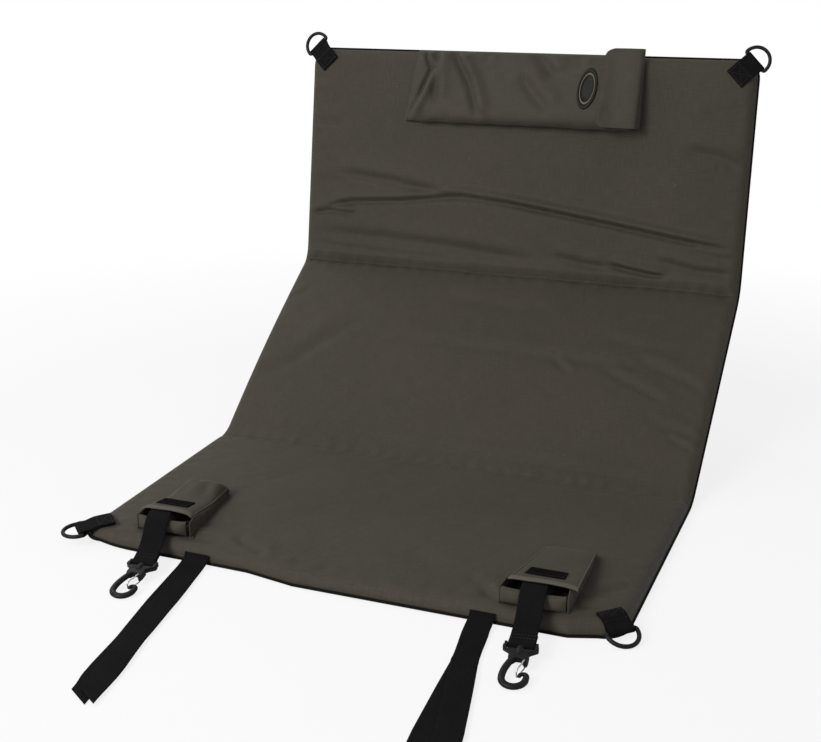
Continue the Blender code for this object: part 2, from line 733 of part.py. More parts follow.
def build_tail(side, axis):
    length = TAIL_LENGTH[side]
    bar = Vector((0.0, -length, CLIP_BAR_HEIGHT - TAIL_PIVOT_HEIGHT))
    clip_turn = CLIP_YAW[side] - TAIL_YAW[side]
    start = -WEBBING_THICKNESS / 2
    end = bar.z + LOOP_MID_RADIUS
    points = [Vector((0.0, -CLEARANCE / 2, start)), Vector((0.0, -TAIL_LEVEL_LENGTH, start))]
    half = Vector((HOOK_WEBBING_WIDTH / 2, 0.0, 0.0))
    widths = [half, half]
    for reach, drop in TAIL_SAG_SHARES:
        points.append(Vector((0.0, -length * reach, start + drop * (end - start))))
        widths.append(Matrix.Rotation(clip_turn * reach, 3, "Z") @ half)
    band = ribbon(points, widths, WEBBING_THICKNESS)
    tail = add(f"hook_strap_tail_{side}", band, FINISHES["webbing"], axis)
    clip = frame(f"clip_axis_{side}", bar, (CLIP_PITCH, 0.0, clip_turn), axis)
    centre = Matrix.Translation(bar) @ Matrix.Rotation(clip_turn, 4, "Z") @ along_x(Vector())
    loop = add_tool(f"tail_loop_{side}", cylinder(LOOP_OUTER_RADIUS, HOOK_WEBBING_WIDTH, centre), axis)
    bore = cylinder(LOOP_BORE_RADIUS, HOOK_WEBBING_WIDTH + 2 * CUT_OVERRUN, centre)
    join_shape(tail, loop, "UNION")
    join_shape(tail, add_tool(f"tail_bore_{side}", bore, axis), "DIFFERENCE")
    build_clip_base(side, clip)
    build_snap_hook(side, clip)


def prism(points, thickness, bevel=0.0):
    """An outline in the XY plane made solid about it, its long edges rounded by bevel."""
    mesh = bmesh.new()
    face = mesh.faces.new([mesh.verts.new((x, y, -thickness / 2)) for x, y in points])
    top = bmesh.ops.extrude_face_region(mesh, geom=[face])["geom"]
    moved = [item for item in top if isinstance(item, bmesh.types.BMVert)]
    bmesh.ops.translate(mesh, verts=moved, vec=(0.0, 0.0, thickness))
    if bevel:
        bmesh.ops.recalc_face_normals(mesh, faces=mesh.faces)
        flat = [edge for edge in mesh.edges if abs(edge.verts[0].co.z - edge.verts[1].co.z) < bevel]
        bmesh.ops.bevel(
            mesh, geom=flat, offset=bevel, segments=2, profile=0.5, affect="EDGES", material=-1
        )
    return mesh


def build_clip_base(side, clip):
    """The clip's frame: two ears that hold the webbing bar, and a yoke with the swivel's barrel."""
    inner = CLIP_HALF - EAR_WIDTH
    top = BAR_RADIUS + WEBBING_THICKNESS * BAR_COVER_SHARE
    half = [
        (inner, top),
        (CLIP_HALF, top),
        (CLIP_HALF, -EAR_LENGTH),
        (YOKE_WIDTH / 2, -YOKE_END),
    ]
    window = [(inner, -YOKE_START)]
    points = half + [(-x, y) for x, y in reversed(half)] + [(-x, y) for x, y in window] + window
    base = add(f"clip_base_{side}", prism(points, CLIP_THICKNESS), FINISHES["plastic"], clip)
    bar = cylinder(BAR_RADIUS, 2 * inner + EAR_WIDTH, along_x(Vector()))
    barrel_length = YOKE_END - YOKE_START
    middle = Vector((0.0, -(YOKE_START + YOKE_END) / 2, 0.0))
    barrel = cylinder(BARREL_RADIUS, barrel_length, along_y(middle))
    bore = cylinder(STEM_RADIUS + CLEARANCE, barrel_length + 2 * CUT_OVERRUN, along_y(middle))
    join_shape(base, add_tool(f"clip_bar_{side}", bar, clip), "UNION")
    join_shape(base, add_tool(f"clip_barrel_{side}", barrel, clip), "UNION")
    join_shape(base, add_tool(f"clip_bore_{side}", bore, clip), "DIFFERENCE")


def sweep(path, halves, thickness_halves):
    """An oval bar along a path in the XY plane, with its own half width and thickness at each point."""
    rings = []
    for i, point in enumerate(path):
        before = path[max(i - 1, 0)]
        after = path[min(i + 1, len(path) - 1)]
        across = Vector((after.y - before.y, before.x - after.x, 0.0)).normalized()
        ring = []
        for step in range(SWEEP_SIDES):
            turn = 2 * math.pi * (step + HALFWAY_SHARE) / SWEEP_SIDES
            rise = Vector((0.0, 0.0, thickness_halves[i] * math.sin(turn)))
            ring.append(point + across * (halves[i] * math.cos(turn)) + rise)
        rings.append(ring)
    return loft(rings, plain_cap)


def hook_path():
    """The hook's middle line: down the shank, round the bend and back in a small curl."""
    bend_centre = (0.0, -BEND_REACH)
    path = [
        Vector((-NECK_HALF * across, -(YOKE_END + NECK_LENGTH * along), 0.0))
        for across, along in (SHOULDER_SHARES, SHANK_SHARES)
    ]
    path.append(Vector((-BEND_RADIUS * KNEE_SHARE, -(BEND_REACH - BEND_RADIUS), 0.0)))
    path += [Vector((x, y, 0.0)) for x, y in arc(bend_centre, BEND_RADIUS, math.pi, 2 * math.pi, BEND_STEPS)]
    curl_centre = (BEND_RADIUS - CURL_RADIUS, CURL_RISE - BEND_REACH)
    curl = arc(curl_centre, CURL_RADIUS, 0.0, CURL_TURN, CURL_STEPS)
    path += [Vector((x, y, 0.0)) for x, y in curl]
    return path


def build_snap_hook(side, clip):
    """A hook on a headed stem that turns in the yoke, with a sprung wire gate."""
    swivel = frame(f"swivel_axis_{side}", (0.0, 0.0, 0.0), (0.0, 0.0, 0.0), clip)
    path = hook_path()
    taper = len(path) - CURL_STEPS
    halves = [SHANK_HALF] * taper
    heights = [HOOK_HALF_THICKNESS] * taper
    for i in range(CURL_STEPS):
        share = (i + 1) / CURL_STEPS
        halves.append(SHANK_HALF + (CURL_WIRE_HALF - SHANK_HALF) * min(2 * share, 1.0))
        heights.append(HOOK_HALF_THICKNESS + (CURL_WIRE_HALF - HOOK_HALF_THICKNESS) * share)
    hook = add(f"snap_hook_{side}", sweep(path, halves, heights), FINISHES["plastic"], swivel)
    top = -(YOKE_END + STEM_PLAY)
    throat = -(YOKE_END + NECK_LENGTH)
    tip = -(YOKE_END + BOSS_TIP_REACH)
    shelf = (throat + tip) / 2
    shank_outer, shank_inner = (-NECK_HALF * share for share in NECK_SHANK_SHARES)
    notch = NECK_HALF * NECK_NOTCH_SHARE
    tip_left, tip_right = (BOSS_HALF * share for share in BOSS_TIP_SHARES)
    neck = [
        (-NECK_HALF, top),
        (-NECK_HALF * NECK_THROAT_SHARE, throat),
        (shank_outer, shelf),
        (shank_inner, shelf),
        (-notch, throat),
        (notch, throat),
        (GATE_PIVOT_X - BOSS_HALF, shelf),
        (GATE_PIVOT_X - tip_left, tip),
        (GATE_PIVOT_X + tip_right, tip),
        (GATE_PIVOT_X + BOSS_HALF, shelf),
        (NECK_HALF, throat),
        (NECK_HALF, top),
    ]
    block = add_tool(f"hook_neck_{side}", prism(neck, NECK_THICKNESS, NECK_BEVEL), swivel)
    head_top = -(YOKE_START - STEM_PLAY - STEM_HEAD_LENGTH)
    head_low = head_top - STEM_HEAD_LENGTH
    stem_end = top - NECK_LENGTH / 2
    head_middle = (head_top + head_low) / 2
    stem_middle = Vector((0.0, (head_middle + stem_end) / 2, 0.0))
    stem = cylinder(STEM_RADIUS, head_middle - stem_end, along_y(stem_middle))
    head_place = along_y(Vector((0.0, head_middle, 0.0)))
    head = cylinder(STEM_HEAD_RADIUS, STEM_HEAD_LENGTH, head_place)
    pivot = Vector((GATE_PIVOT_X, -GATE_PIVOT_REACH, 0.0))
    hole = cylinder(
        GATE_WIRE_RADIUS + GATE_HOLE_PLAY, NECK_THICKNESS + 2 * CUT_OVERRUN, Matrix.Translation(pivot)
    )
    join_shape(hook, block, "UNION")
    join_shape(hook, add_tool(f"hook_stem_{side}", stem, swivel), "UNION")
    join_shape(hook, add_tool(f"hook_head_{side}", head, swivel), "UNION")
    join_shape(hook, add_tool(f"gate_hole_{side}", hole, swivel), "DIFFERENCE")
    build_gate(side, swivel, pivot)


def build_gate(side, swivel, pivot):
    """A bent wire whose two ends turn in the boss and whose nose closes on the curl."""
    gate = frame(f"gate_axis_{side}", pivot, (0.0, 0.0, 0.0), swivel)
    out = NECK_THICKNESS / 2 + CLEARANCE + GATE_WIRE_RADIUS
    curl_left = BEND_RADIUS - 2 * CURL_RADIUS - CURL_WIRE_HALF
    nose_x = curl_left - CLEARANCE - GATE_WIRE_RADIUS - pivot.x
    nose_y = CURL_RISE - BEND_REACH + CURL_RADIUS * NOSE_RISE_SHARE - pivot.y
    shoulder = 1 - GATE_NOSE / -nose_y
    pin = NECK_THICKNESS / 2 - GATE_PIN_DEPTH
    upper = [
        Vector((0.0, 0.0, pin)),
        Vector((0.0, 0.0, out)),
        Vector((nose_x * shoulder, nose_y * shoulder, out)),
        Vector((nose_x, nose_y, out - GATE_NOSE)),
    ]
    lower = [Vector((p.x, p.y, -p.z)) for p in reversed(upper)]
    tube(f"wire_gate_{side}", upper + lower, GATE_WIRE_RADIUS, FINISHES["wire"], gate, resolution=1)


def pocket_section(scale, surface, bottom, inset):
    """The pocket's closed section across the panel, drawn in by inset all round."""
    points = [
        Vector((bottom + u * POCKET_HEIGHT, surface + w * POCKET_PUFF * (scale if w > 0 else 1.0)))
        for u, w in POCKET_PROFILE_SHARES
    ]
    made = []
    for i, point in enumerate(points):
        before = points[i - 1]
        after = points[(i + 1) % len(points)]
        first = (point - before).normalized()
        second = (after - point).normalized()
        inward = (Vector((-first.y, first.x)) + Vector((-second.y, second.x))).normalized()
        grow = 1 / max(inward.dot(Vector((-second.y, second.x))), POCKET_MITRE_SHARE)
        made.append(point - inward * inset * grow)
    return made


def build_pocket(panel):
    """A sleeve along the rear edge, closed at its left end, with a flap over its mouth."""
    surface = panel.base + EDGE_HEIGHT + CROWN_RISE + CLEARANCE
    bottom = REAR_LENGTH - POCKET_HEIGHT
    length = POCKET_MOUTH - POCKET_LEFT
    outer = []
    inner = []
    for along, scale in POCKET_STATION_SHARES:
        x = POCKET_LEFT + along * length
        section = pocket_section(scale, surface, bottom, 0.0)
        outer.append([Vector((x, p.x, p.y)) for p in section])
        if along:
            section = pocket_section(scale, surface, bottom, POCKET_WALL)
            inner.append([Vector((x, p.x, p.y)) for p in section])
    add("rear_pocket", loft(outer + inner[::-1], plain_cap), FINISHES["cover"], panel.carrier)
    build_end_flap(panel, surface, bottom)
    build_badge(panel, surface, bottom)


def pocket_face(share, surface, bottom):
    """A point on the pocket's flat front face, at a share of the way from its lower to its upper edge."""
    low, high = (Vector(POCKET_PROFILE_SHARES[i]) for i in (4, 5))
    place = low.lerp(high, share)
    return Vector((bottom + place.x * POCKET_HEIGHT, surface + place.y * POCKET_PUFF))


def build_end_flap(panel, surface, bottom):
    """A flap that folds round the pocket's open end and lies on its front face."""
    low_y = bottom + END_FLAP_BOTTOM
    high_y = REAR_LENGTH + END_FLAP_STAND
    axis = frame("end_flap_axis", (END_FLAP_RIGHT, 0.0, surface), (0.0, 0.0, 0.0), panel.carrier)
    first = pocket_face(0.0, surface, bottom)
    last = pocket_face(1.0, surface, bottom)
    slope = (last.y - first.y) / (last.x - first.x)
    over = CLEARANCE + END_FLAP_LIFT + END_FLAP_THICKNESS
    half = END_FLAP_THICKNESS / 2
    bend_across, bend_down = (END_FLAP_CORNER * share for share in END_FLAP_BEND_SHARES)
    rows = []
    for y in (low_y, high_y):
        height = first.y + slope * (max(y, first.x) - first.x) - surface + over
        reach = END_FLAP_LEFT - END_FLAP_RIGHT
        rows.append(
            [
                Vector((-half, y, half)),
                Vector((-half, y, height - END_FLAP_CORNER)),
                Vector((-half - bend_across, y, height - half - bend_down)),
                Vector((-END_FLAP_CORNER, y, height - half)),
                Vector((reach, y, height - half)),
            ]
        )
    points = [low.lerp(high, HALFWAY_SHARE) for low, high in zip(*rows)]
    widths = [(high - low) / 2 for low, high in zip(*rows)]
    add("pocket_end_flap", ribbon(points, widths, END_FLAP_THICKNESS), FINISHES["cover"], axis)


def build_badge(panel, surface, bottom):
    """A plain oval badge with a raised rim on the pocket's front face."""
    first = pocket_face(0.0, surface, bottom)
    last = pocket_face(1.0, surface, bottom)
    place = first.lerp(last, BADGE_PLACE_SHARE)
    slope = math.atan2(last.y - first.y, last.x - first.x)
    seat = frame("badge_place", (BADGE_X, place.x, place.y), (slope, 0.0, 0.0), panel.carrier)
    rings = []
    for share, height in BADGE_RING_SHARES:
        ring = []
        for step in range(BADGE_STEPS):
            turn = 2 * math.pi * (step + HALFWAY_SHARE) / BADGE_STEPS - RIGHT_ANGLE
            across = BADGE_WIDTH / 2 * share * math.cos(turn)
            along = BADGE_HEIGHT / 2 * share * math.sin(turn)
            point = Vector((across, along, 0.0))
            point.rotate(Matrix.Rotation(BADGE_TILT, 3, "Z"))
            ring.append(point + Vector((0.0, 0.0, CLEARANCE + height * BADGE_THICKNESS)))
        rings.append(ring)
    add("badge", loft(rings, plain_cap), FINISHES["badge"], seat)


clear_scene()
FINISHES = {
    "cover": material("olive woven nylon", (0.062, 0.055, 0.042), 0.72),
    "base": material("base fabric", (0.040, 0.038, 0.032), 0.8),
    "foam": material("grey foam", (0.25, 0.25, 0.26), 0.95),
    "webbing": material("black webbing", (0.008, 0.008, 0.009), 0.75),
    "plastic": material("black plastic", (0.007, 0.007, 0.008), 0.35),
    "wire": material("gate wire", (0.55, 0.55, 0.56), 0.3, 1.0),
    "patch": material("hook and loop", (0.006, 0.006, 0.007), 0.9),
    "badge": material("badge rubber", (0.02, 0.02, 0.016), 0.5),
}
half_gap = FOLD_GAP / 2
middle_frame = frame("front_fold_axis", (0.0, FRONT_AXIS_Y, FOLD_HEIGHT), (FRONT_FOLD_ANGLE, 0.0, 0.0))
rear_frame = frame("rear_fold_axis", (0.0, MIDDLE_LENGTH, 0.0), (REAR_FOLD_ANGLE, 0.0, 0.0), middle_frame)
front = Panel("front", None, FRONT_Y + EDGE_ALLOWANCE, FRONT_AXIS_Y - half_gap, 0.0, True, False)
middle = Panel("middle", middle_frame, half_gap, MIDDLE_LENGTH - half_gap, -FOLD_HEIGHT, False, False)
rear = Panel("rear", rear_frame, half_gap, REAR_LENGTH - EDGE_ALLOWANCE, -FOLD_HEIGHT, False, True)
for panel in (front, middle, rear):
    panel.build()
build_fold_web("front_fold_web", front, FRONT_AXIS_Y, -1)
build_fold_web("middle_fold_web_front", middle, 0.0, 1)
build_fold_web("middle_fold_web_rear", middle, MIDDLE_LENGTH, -1)
build_fold_web("rear_fold_web", rear, 0.0, 1)
for side in SIDES:
    build_corner(front, "front", side)
    build_corner(rear, "rear", side)
    build_tie_strap(front, side)
    build_pouch(side)
    build_hook_strap(side)
build_pocket(rear)
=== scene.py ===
"""Looks of a folding unhooking mat: three padded panels, straps, pouches and a rear pocket.

Every piece is made in metres in the part's own frame: X runs across the mat, Y from front to rear
and Z up. The mat's top surface is followed by a path length U, which is zero at the front fold.
"""

from __future__ import annotations

import logging
import math
from dataclasses import dataclass
from enum import Enum
from typing import Callable, Iterable, Optional, Sequence

import bmesh
import bpy
import numpy as np
from mathutils import Matrix, Vector

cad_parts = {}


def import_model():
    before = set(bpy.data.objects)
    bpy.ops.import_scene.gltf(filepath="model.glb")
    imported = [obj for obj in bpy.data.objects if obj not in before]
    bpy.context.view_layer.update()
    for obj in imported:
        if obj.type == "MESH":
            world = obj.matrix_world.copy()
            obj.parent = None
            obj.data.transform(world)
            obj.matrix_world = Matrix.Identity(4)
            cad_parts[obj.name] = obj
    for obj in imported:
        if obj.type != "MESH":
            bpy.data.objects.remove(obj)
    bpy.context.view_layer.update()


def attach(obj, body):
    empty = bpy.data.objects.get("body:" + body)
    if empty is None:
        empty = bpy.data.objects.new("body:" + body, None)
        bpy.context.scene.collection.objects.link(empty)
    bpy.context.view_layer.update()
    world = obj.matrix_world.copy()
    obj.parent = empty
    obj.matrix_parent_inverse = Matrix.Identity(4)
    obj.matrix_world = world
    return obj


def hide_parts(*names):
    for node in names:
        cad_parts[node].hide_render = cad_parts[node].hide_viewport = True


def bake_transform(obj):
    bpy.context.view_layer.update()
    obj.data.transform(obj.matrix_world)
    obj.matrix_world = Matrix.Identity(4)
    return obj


LOG = logging.getLogger("mat")
RIGHT_ANGLE = math.pi / 2
PatternMap = Callable[[np.ndarray, np.ndarray], np.ndarray]


class Side(Enum):
    """The two sides of the mat, seen from its front edge."""

    LEFT = "left"
    RIGHT = "right"

    @property
    def sign(self) -> int:
        """-1 on the left and 1 on the right."""
        return -1 if self is Side.LEFT else 1


class End(Enum):
    """The two ends of the mat that carry corner rings."""

    FRONT = "front"
    REAR = "rear"


# ---------------------------------------------------------------- node helpers


class NodeBuilder:
    """Adds and links shader nodes in one node tree, laid out in columns."""

    def __init__(self, tree: bpy.types.NodeTree) -> None:
        """Keeps the tree to build in.

        Args:
            tree: The node tree of a material or a node group.
        """
        self.tree = tree
        self.count = 0

    def add(self, kind: str, **settings: object) -> bpy.types.Node:
        """Adds a node and sets its properties.

        Args:
            kind: The node's type name.
            settings: Properties of the node by name.

        Returns:
            The new node.
        """
        node = self.tree.nodes.new(kind)
        node.location = (200 * (self.count % 6), -260 * (self.count // 6))
        self.count += 1
        for name, value in settings.items():
            setattr(node, name, value)
        return node

    def link(self, source: bpy.types.NodeSocket, target: bpy.types.NodeSocket) -> None:
        """Links an output to an input."""
        self.tree.links.new(source, target)

    def feed(self, socket: bpy.types.NodeSocket, value: object) -> None:
        """Links a socket, or sets the input's own value."""
        if isinstance(value, bpy.types.NodeSocket):
            self.link(value, socket)
        else:
            socket.default_value = value

    def math(self, operation: str, *values: object, clamp: bool = False) -> bpy.types.NodeSocket:
        """Adds a Math node.

        Args:
            operation: The operation's name.
            values: Sockets or numbers for its inputs.
            clamp: Whether the result stays between 0 and 1.

        Returns:
            The node's output.
        """
        node = self.add("ShaderNodeMath", operation=operation, use_clamp=clamp)
        for socket, value in zip(node.inputs, values):
            self.feed(socket, value)
        return node.outputs[0]

    def noise(self, vector: bpy.types.NodeSocket, scale: float, detail: float = 2.0) -> bpy.types.NodeSocket:
        """Adds a noise texture and returns its value."""
        node = self.add("ShaderNodeTexNoise")
        self.link(vector, node.inputs["Vector"])
        node.inputs["Scale"].default_value = scale
        node.inputs["Detail"].default_value = detail
        return node.outputs[0]

    def spread(
        self, value: bpy.types.NodeSocket, low: float, high: float, start: float = 0.0, end: float = 1.0
    ) -> bpy.types.NodeSocket:
        """Maps a value from one range to another, clamped."""
        node = self.add("ShaderNodeMapRange")
        self.link(value, node.inputs["Value"])
        node.inputs["From Min"].default_value = low
        node.inputs["From Max"].default_value = high
        node.inputs["To Min"].default_value = start
        node.inputs["To Max"].default_value = end
        return node.outputs["Result"]

    def mix(self, share: object, first: object, second: object) -> bpy.types.NodeSocket:
        """Mixes two colours.

        Args:
            share: The share of the second colour.
            first: A colour or socket.
            second: A colour or socket.

        Returns:
            The mixed colour.
        """
        node = self.add("ShaderNodeMix", data_type="RGBA")
        self.feed(node.inputs["Factor"], share)
        for name, value in (("A", first), ("B", second)):
            socket = next(s for s in node.inputs if s.name == name and s.type == "RGBA")
            self.feed(socket, (*value, 1.0) if isinstance(value, tuple) and len(value) == 3 else value)
        return next(s for s in node.outputs if s.type == "RGBA")


def make_group(name: str, inputs: dict[str, tuple[str, object]], outputs: dict[str, str]) -> bpy.types.NodeTree:
    """Makes an empty shader node group with named sockets.

    Args:
        name: The group's name.
        inputs: Socket type and default value by input name.
        outputs: Socket type by output name.

    Returns:
        The group's node tree.
    """
    group = bpy.data.node_groups.new(name, "ShaderNodeTree")
    for label, (kind, value) in inputs.items():
        socket = group.interface.new_socket(label, in_out="INPUT", socket_type=kind)
        if value is not None:
            socket.default_value = value
    for label, kind in outputs.items():
        group.interface.new_socket(label, in_out="OUTPUT", socket_type=kind)
    return group


FLOAT = "NodeSocketFloat"
VECTOR = "NodeSocketVector"
COLOUR = "NodeSocketColor"


class Effects:
    """The node groups that several finishes share."""

    def __init__(self) -> None:
        """Builds each shared effect once."""
        self.weave = self.build_weave()
        self.fading = self.build_fading()
        self.edge_wear = self.build_edge_wear()

    def build_weave(self) -> bpy.types.NodeTree:
        """Crossing threads on the piece's own map in metres: their height and a thread-wise shade.

        Returns:
            The node group.
        """
        group = make_group(
            "Woven threads",
            {"Map": (VECTOR, None), "Threads": (FLOAT, 1600.0), "Slub": (FLOAT, 1.0)},
            {"Height": FLOAT, "Shade": FLOAT},
        )
        nodes = NodeBuilder(group)
        start = nodes.add("NodeGroupInput")
        end = nodes.add("NodeGroupOutput")
        parts = nodes.add("ShaderNodeSeparateXYZ")
        nodes.link(start.outputs["Map"], parts.inputs[0])
        turns = nodes.math("MULTIPLY", start.outputs["Threads"], math.pi)
        across = nodes.math("SINE", nodes.math("MULTIPLY", parts.outputs[0], turns))
        along = nodes.math("SINE", nodes.math("MULTIPLY", parts.outputs[1], turns))
        cell = nodes.math("MULTIPLY", across, along)
        nodes.link(nodes.math("MULTIPLY_ADD", cell, 0.5, 0.5), end.inputs["Height"])
        shades = []
        for stretch in ((1.0, 0.06, 1.0), (0.06, 1.0, 1.0)):
            scaled = nodes.add("ShaderNodeVectorMath", operation="MULTIPLY")
            nodes.link(start.outputs["Map"], scaled.inputs[0])
            scaled.inputs[1].default_value = stretch
            shades.append(nodes.noise(scaled.outputs[0], 900.0, 1.0))
        both = nodes.math("ADD", shades[0], shades[1])
        centred = nodes.math("SUBTRACT", both, 1.0)
        nodes.link(nodes.math("MULTIPLY_ADD", centred, start.outputs["Slub"], 0.5, clamp=True), end.inputs["Shade"])
        return group

    def build_fading(self) -> bpy.types.NodeTree:
        """Slow changes of tone over a piece, and sparse pale dust.

        Returns:
            The node group.
        """
        group = make_group(
            "Fading and dust",
            {"Place": (VECTOR, None), "Scale": (FLOAT, 6.0), "Dust": (FLOAT, 0.3)},
            {"Fade": FLOAT, "Dust": FLOAT},
        )
        nodes = NodeBuilder(group)
        start = nodes.add("NodeGroupInput")
        end = nodes.add("NodeGroupOutput")
        scaled = nodes.add("ShaderNodeVectorMath", operation="SCALE")
        nodes.link(start.outputs["Place"], scaled.inputs[0])
        nodes.link(start.outputs["Scale"], scaled.inputs["Scale"])
        nodes.link(nodes.spread(nodes.noise(scaled.outputs[0], 1.0, 3.0), 0.3, 0.7), end.inputs["Fade"])
        specks = nodes.spread(nodes.noise(start.outputs["Place"], 420.0, 1.0), 0.72, 0.8)
        patches = nodes.spread(nodes.noise(start.outputs["Place"], 14.0, 2.0), 0.5, 0.7)
        dusty = nodes.math("MULTIPLY", specks, patches)
        nodes.link(nodes.math("MULTIPLY", dusty, start.outputs["Dust"]), end.inputs["Dust"])
        return group

    def build_edge_wear(self) -> bpy.types.NodeTree:
        """Rubbed convex edges, broken up by a fine noise.

        Returns:
            The node group.
        """
        group = make_group(
            "Edge wear", {"Place": (VECTOR, None), "Amount": (FLOAT, 0.5)}, {"Mask": FLOAT, "Grain": FLOAT}
        )
        nodes = NodeBuilder(group)
        start = nodes.add("NodeGroupInput")
        end = nodes.add("NodeGroupOutput")
        shape = nodes.add("ShaderNodeNewGeometry")
        edge = nodes.spread(shape.outputs["Pointiness"], 0.52, 0.6)
        broken = nodes.spread(nodes.noise(start.outputs["Place"], 260.0, 3.0), 0.4, 0.65)
        worn = nodes.math("MULTIPLY", edge, broken)
        nodes.link(nodes.math("MULTIPLY", worn, start.outputs["Amount"]), end.inputs["Mask"])
        nodes.link(nodes.noise(start.outputs["Place"], 1900.0, 2.0), end.inputs["Grain"])
        return group


@dataclass(frozen=True)
class Surface:
    """The colours and numbers that every finish has."""

    name: str
    colour: tuple[float, float, float]
    dark: tuple[float, float, float]
    roughness: float

    def start(self) -> tuple[bpy.types.Material, NodeBuilder, bpy.types.Node]:
        """Makes the material with its shader's plain values.

        Returns:
            The material, its node builder and its Principled shader.
        """
        made = bpy.data.materials.new(self.name)
        made.use_nodes = True
        shader = made.node_tree.nodes["Principled BSDF"]
        shader.inputs["Roughness"].default_value = self.roughness
        shader.location = (1500, 0)
        made.node_tree.nodes["Material Output"].location = (1800, 0)
        return made, NodeBuilder(made.node_tree), shader

    def bump(
        self, nodes: NodeBuilder, shader: bpy.types.Node, heights: Sequence[tuple[bpy.types.NodeSocket, float]]
    ) -> None:
        """Chains Bump nodes into the shader's normal.

        Args:
            nodes: The material's node builder.
            shader: The Principled shader.
            heights: Height sockets, each with its depth in metres.
        """
        normal: Optional[bpy.types.NodeSocket] = None
        for height, depth in heights:
            node = nodes.add("ShaderNodeBump")
            node.inputs["Strength"].default_value = 1.0
            node.inputs["Distance"].default_value = depth
            nodes.link(height, node.inputs["Height"])
            if normal is not None:
                nodes.link(normal, node.inputs["Normal"])
            normal = node.outputs["Normal"]
        if normal is not None:
            nodes.link(normal, shader.inputs["Normal"])

    def map_and_place(self, nodes: NodeBuilder) -> tuple[bpy.types.NodeSocket, bpy.types.NodeSocket]:
        """The piece's own map in metres, and its place in the object."""
        own = nodes.add("ShaderNodeUVMap", uv_map=Piece.MAP_NAME)
        place = nodes.add("ShaderNodeTexCoord")
        return own.outputs[0], place.outputs["Object"]


@dataclass(frozen=True)
class WovenNylon(Surface):
    """Coated nylon cloth in a plain weave with a soft sheen."""

    threads: float = 1500.0
    relief: float = 0.00007
    sheen: float = 0.05
    crinkle: float = 0.0005

    def build(self, effects: Effects) -> bpy.types.Material:
        """Builds the cloth's material.

        Args:
            effects: The shared node groups.

        Returns:
            The material.
        """
        made, nodes, shader = self.start()
        own, place = self.map_and_place(nodes)
        shader.inputs["Sheen Weight"].default_value = self.sheen
        shader.inputs["Sheen Roughness"].default_value = 0.45
        shader.inputs["Specular IOR Level"].default_value = 0.14
        weave = nodes.add("ShaderNodeGroup", node_tree=effects.weave)
        nodes.link(own, weave.inputs["Map"])
        weave.inputs["Threads"].default_value = self.threads
        weave.inputs["Slub"].default_value = 1.1
        fading = nodes.add("ShaderNodeGroup", node_tree=effects.fading)
        nodes.link(place, fading.inputs["Place"])
        fading.inputs["Scale"].default_value = 7.0
        fading.inputs["Dust"].default_value = 0.35
        base = nodes.mix(weave.outputs["Shade"], self.dark, self.colour)
        faded = nodes.mix(
            nodes.math("MULTIPLY", fading.outputs["Fade"], 0.28), base, tuple(1.22 * c for c in self.colour)
        )
        pale = tuple(min(4.5 * c, 0.3) for c in self.colour)
        nodes.link(nodes.mix(fading.outputs["Dust"], faded, pale), shader.inputs["Base Color"])
        rough = nodes.spread(weave.outputs["Shade"], 0.0, 1.0, self.roughness + 0.06, self.roughness - 0.05)
        nodes.link(rough, shader.inputs["Roughness"])
        crinkles = nodes.noise(place, 55.0, 3.0)
        soft = nodes.noise(place, 17.0, 2.0)
        self.bump(
            nodes,
            shader,
            [(soft, 4 * self.crinkle), (crinkles, self.crinkle), (weave.outputs["Height"], self.relief)],
        )
        return made


@dataclass(frozen=True)
class Webbing(Surface):
    """Woven strap: ribs that run along it, finer cross threads and firm edges."""

    ribs: float = 560.0
    relief: float = 0.00018

    def build(self, effects: Effects) -> bpy.types.Material:
        """Builds the webbing's material.

        Args:
            effects: The shared node groups.

        Returns:
            The material.
        """
        made, nodes, shader = self.start()
        own, place = self.map_and_place(nodes)
        shader.inputs["Specular IOR Level"].default_value = 0.06
        parts = nodes.add("ShaderNodeSeparateXYZ")
        nodes.link(own, parts.inputs[0])
        rib = nodes.math("SINE", nodes.math("MULTIPLY", parts.outputs[0], self.ribs * 2 * math.pi))
        twill = nodes.math(
            "SINE",
            nodes.math(
                "ADD",
                nodes.math("MULTIPLY", parts.outputs[1], self.ribs * 2.2 * math.pi),
                nodes.math("MULTIPLY", rib, 1.2),
            ),
        )
        both = nodes.math("MULTIPLY_ADD", twill, 0.5, rib)
        weave = nodes.add("ShaderNodeGroup", node_tree=effects.weave)
        nodes.link(own, weave.inputs["Map"])
        weave.inputs["Threads"].default_value = 2600.0
        fading = nodes.add("ShaderNodeGroup", node_tree=effects.fading)
        nodes.link(place, fading.inputs["Place"])
        fading.inputs["Scale"].default_value = 30.0
        fading.inputs["Dust"].default_value = 0.25
        shade = nodes.math("MULTIPLY_ADD", both, 0.16, weave.outputs["Shade"], clamp=True)
        base = nodes.mix(shade, self.dark, self.colour)
        worn = nodes.mix(
            nodes.math("MULTIPLY", fading.outputs["Fade"], 0.3), base, tuple(1.5 * c for c in self.colour)
        )
        lint = nodes.mix(fading.outputs["Dust"], worn, (0.09, 0.09, 0.088))
        nodes.link(lint, shader.inputs["Base Color"])
        self.bump(nodes, shader, [(nodes.spread(both, -1.5, 1.5), self.relief), (weave.outputs["Height"], 0.00005)])
        return made


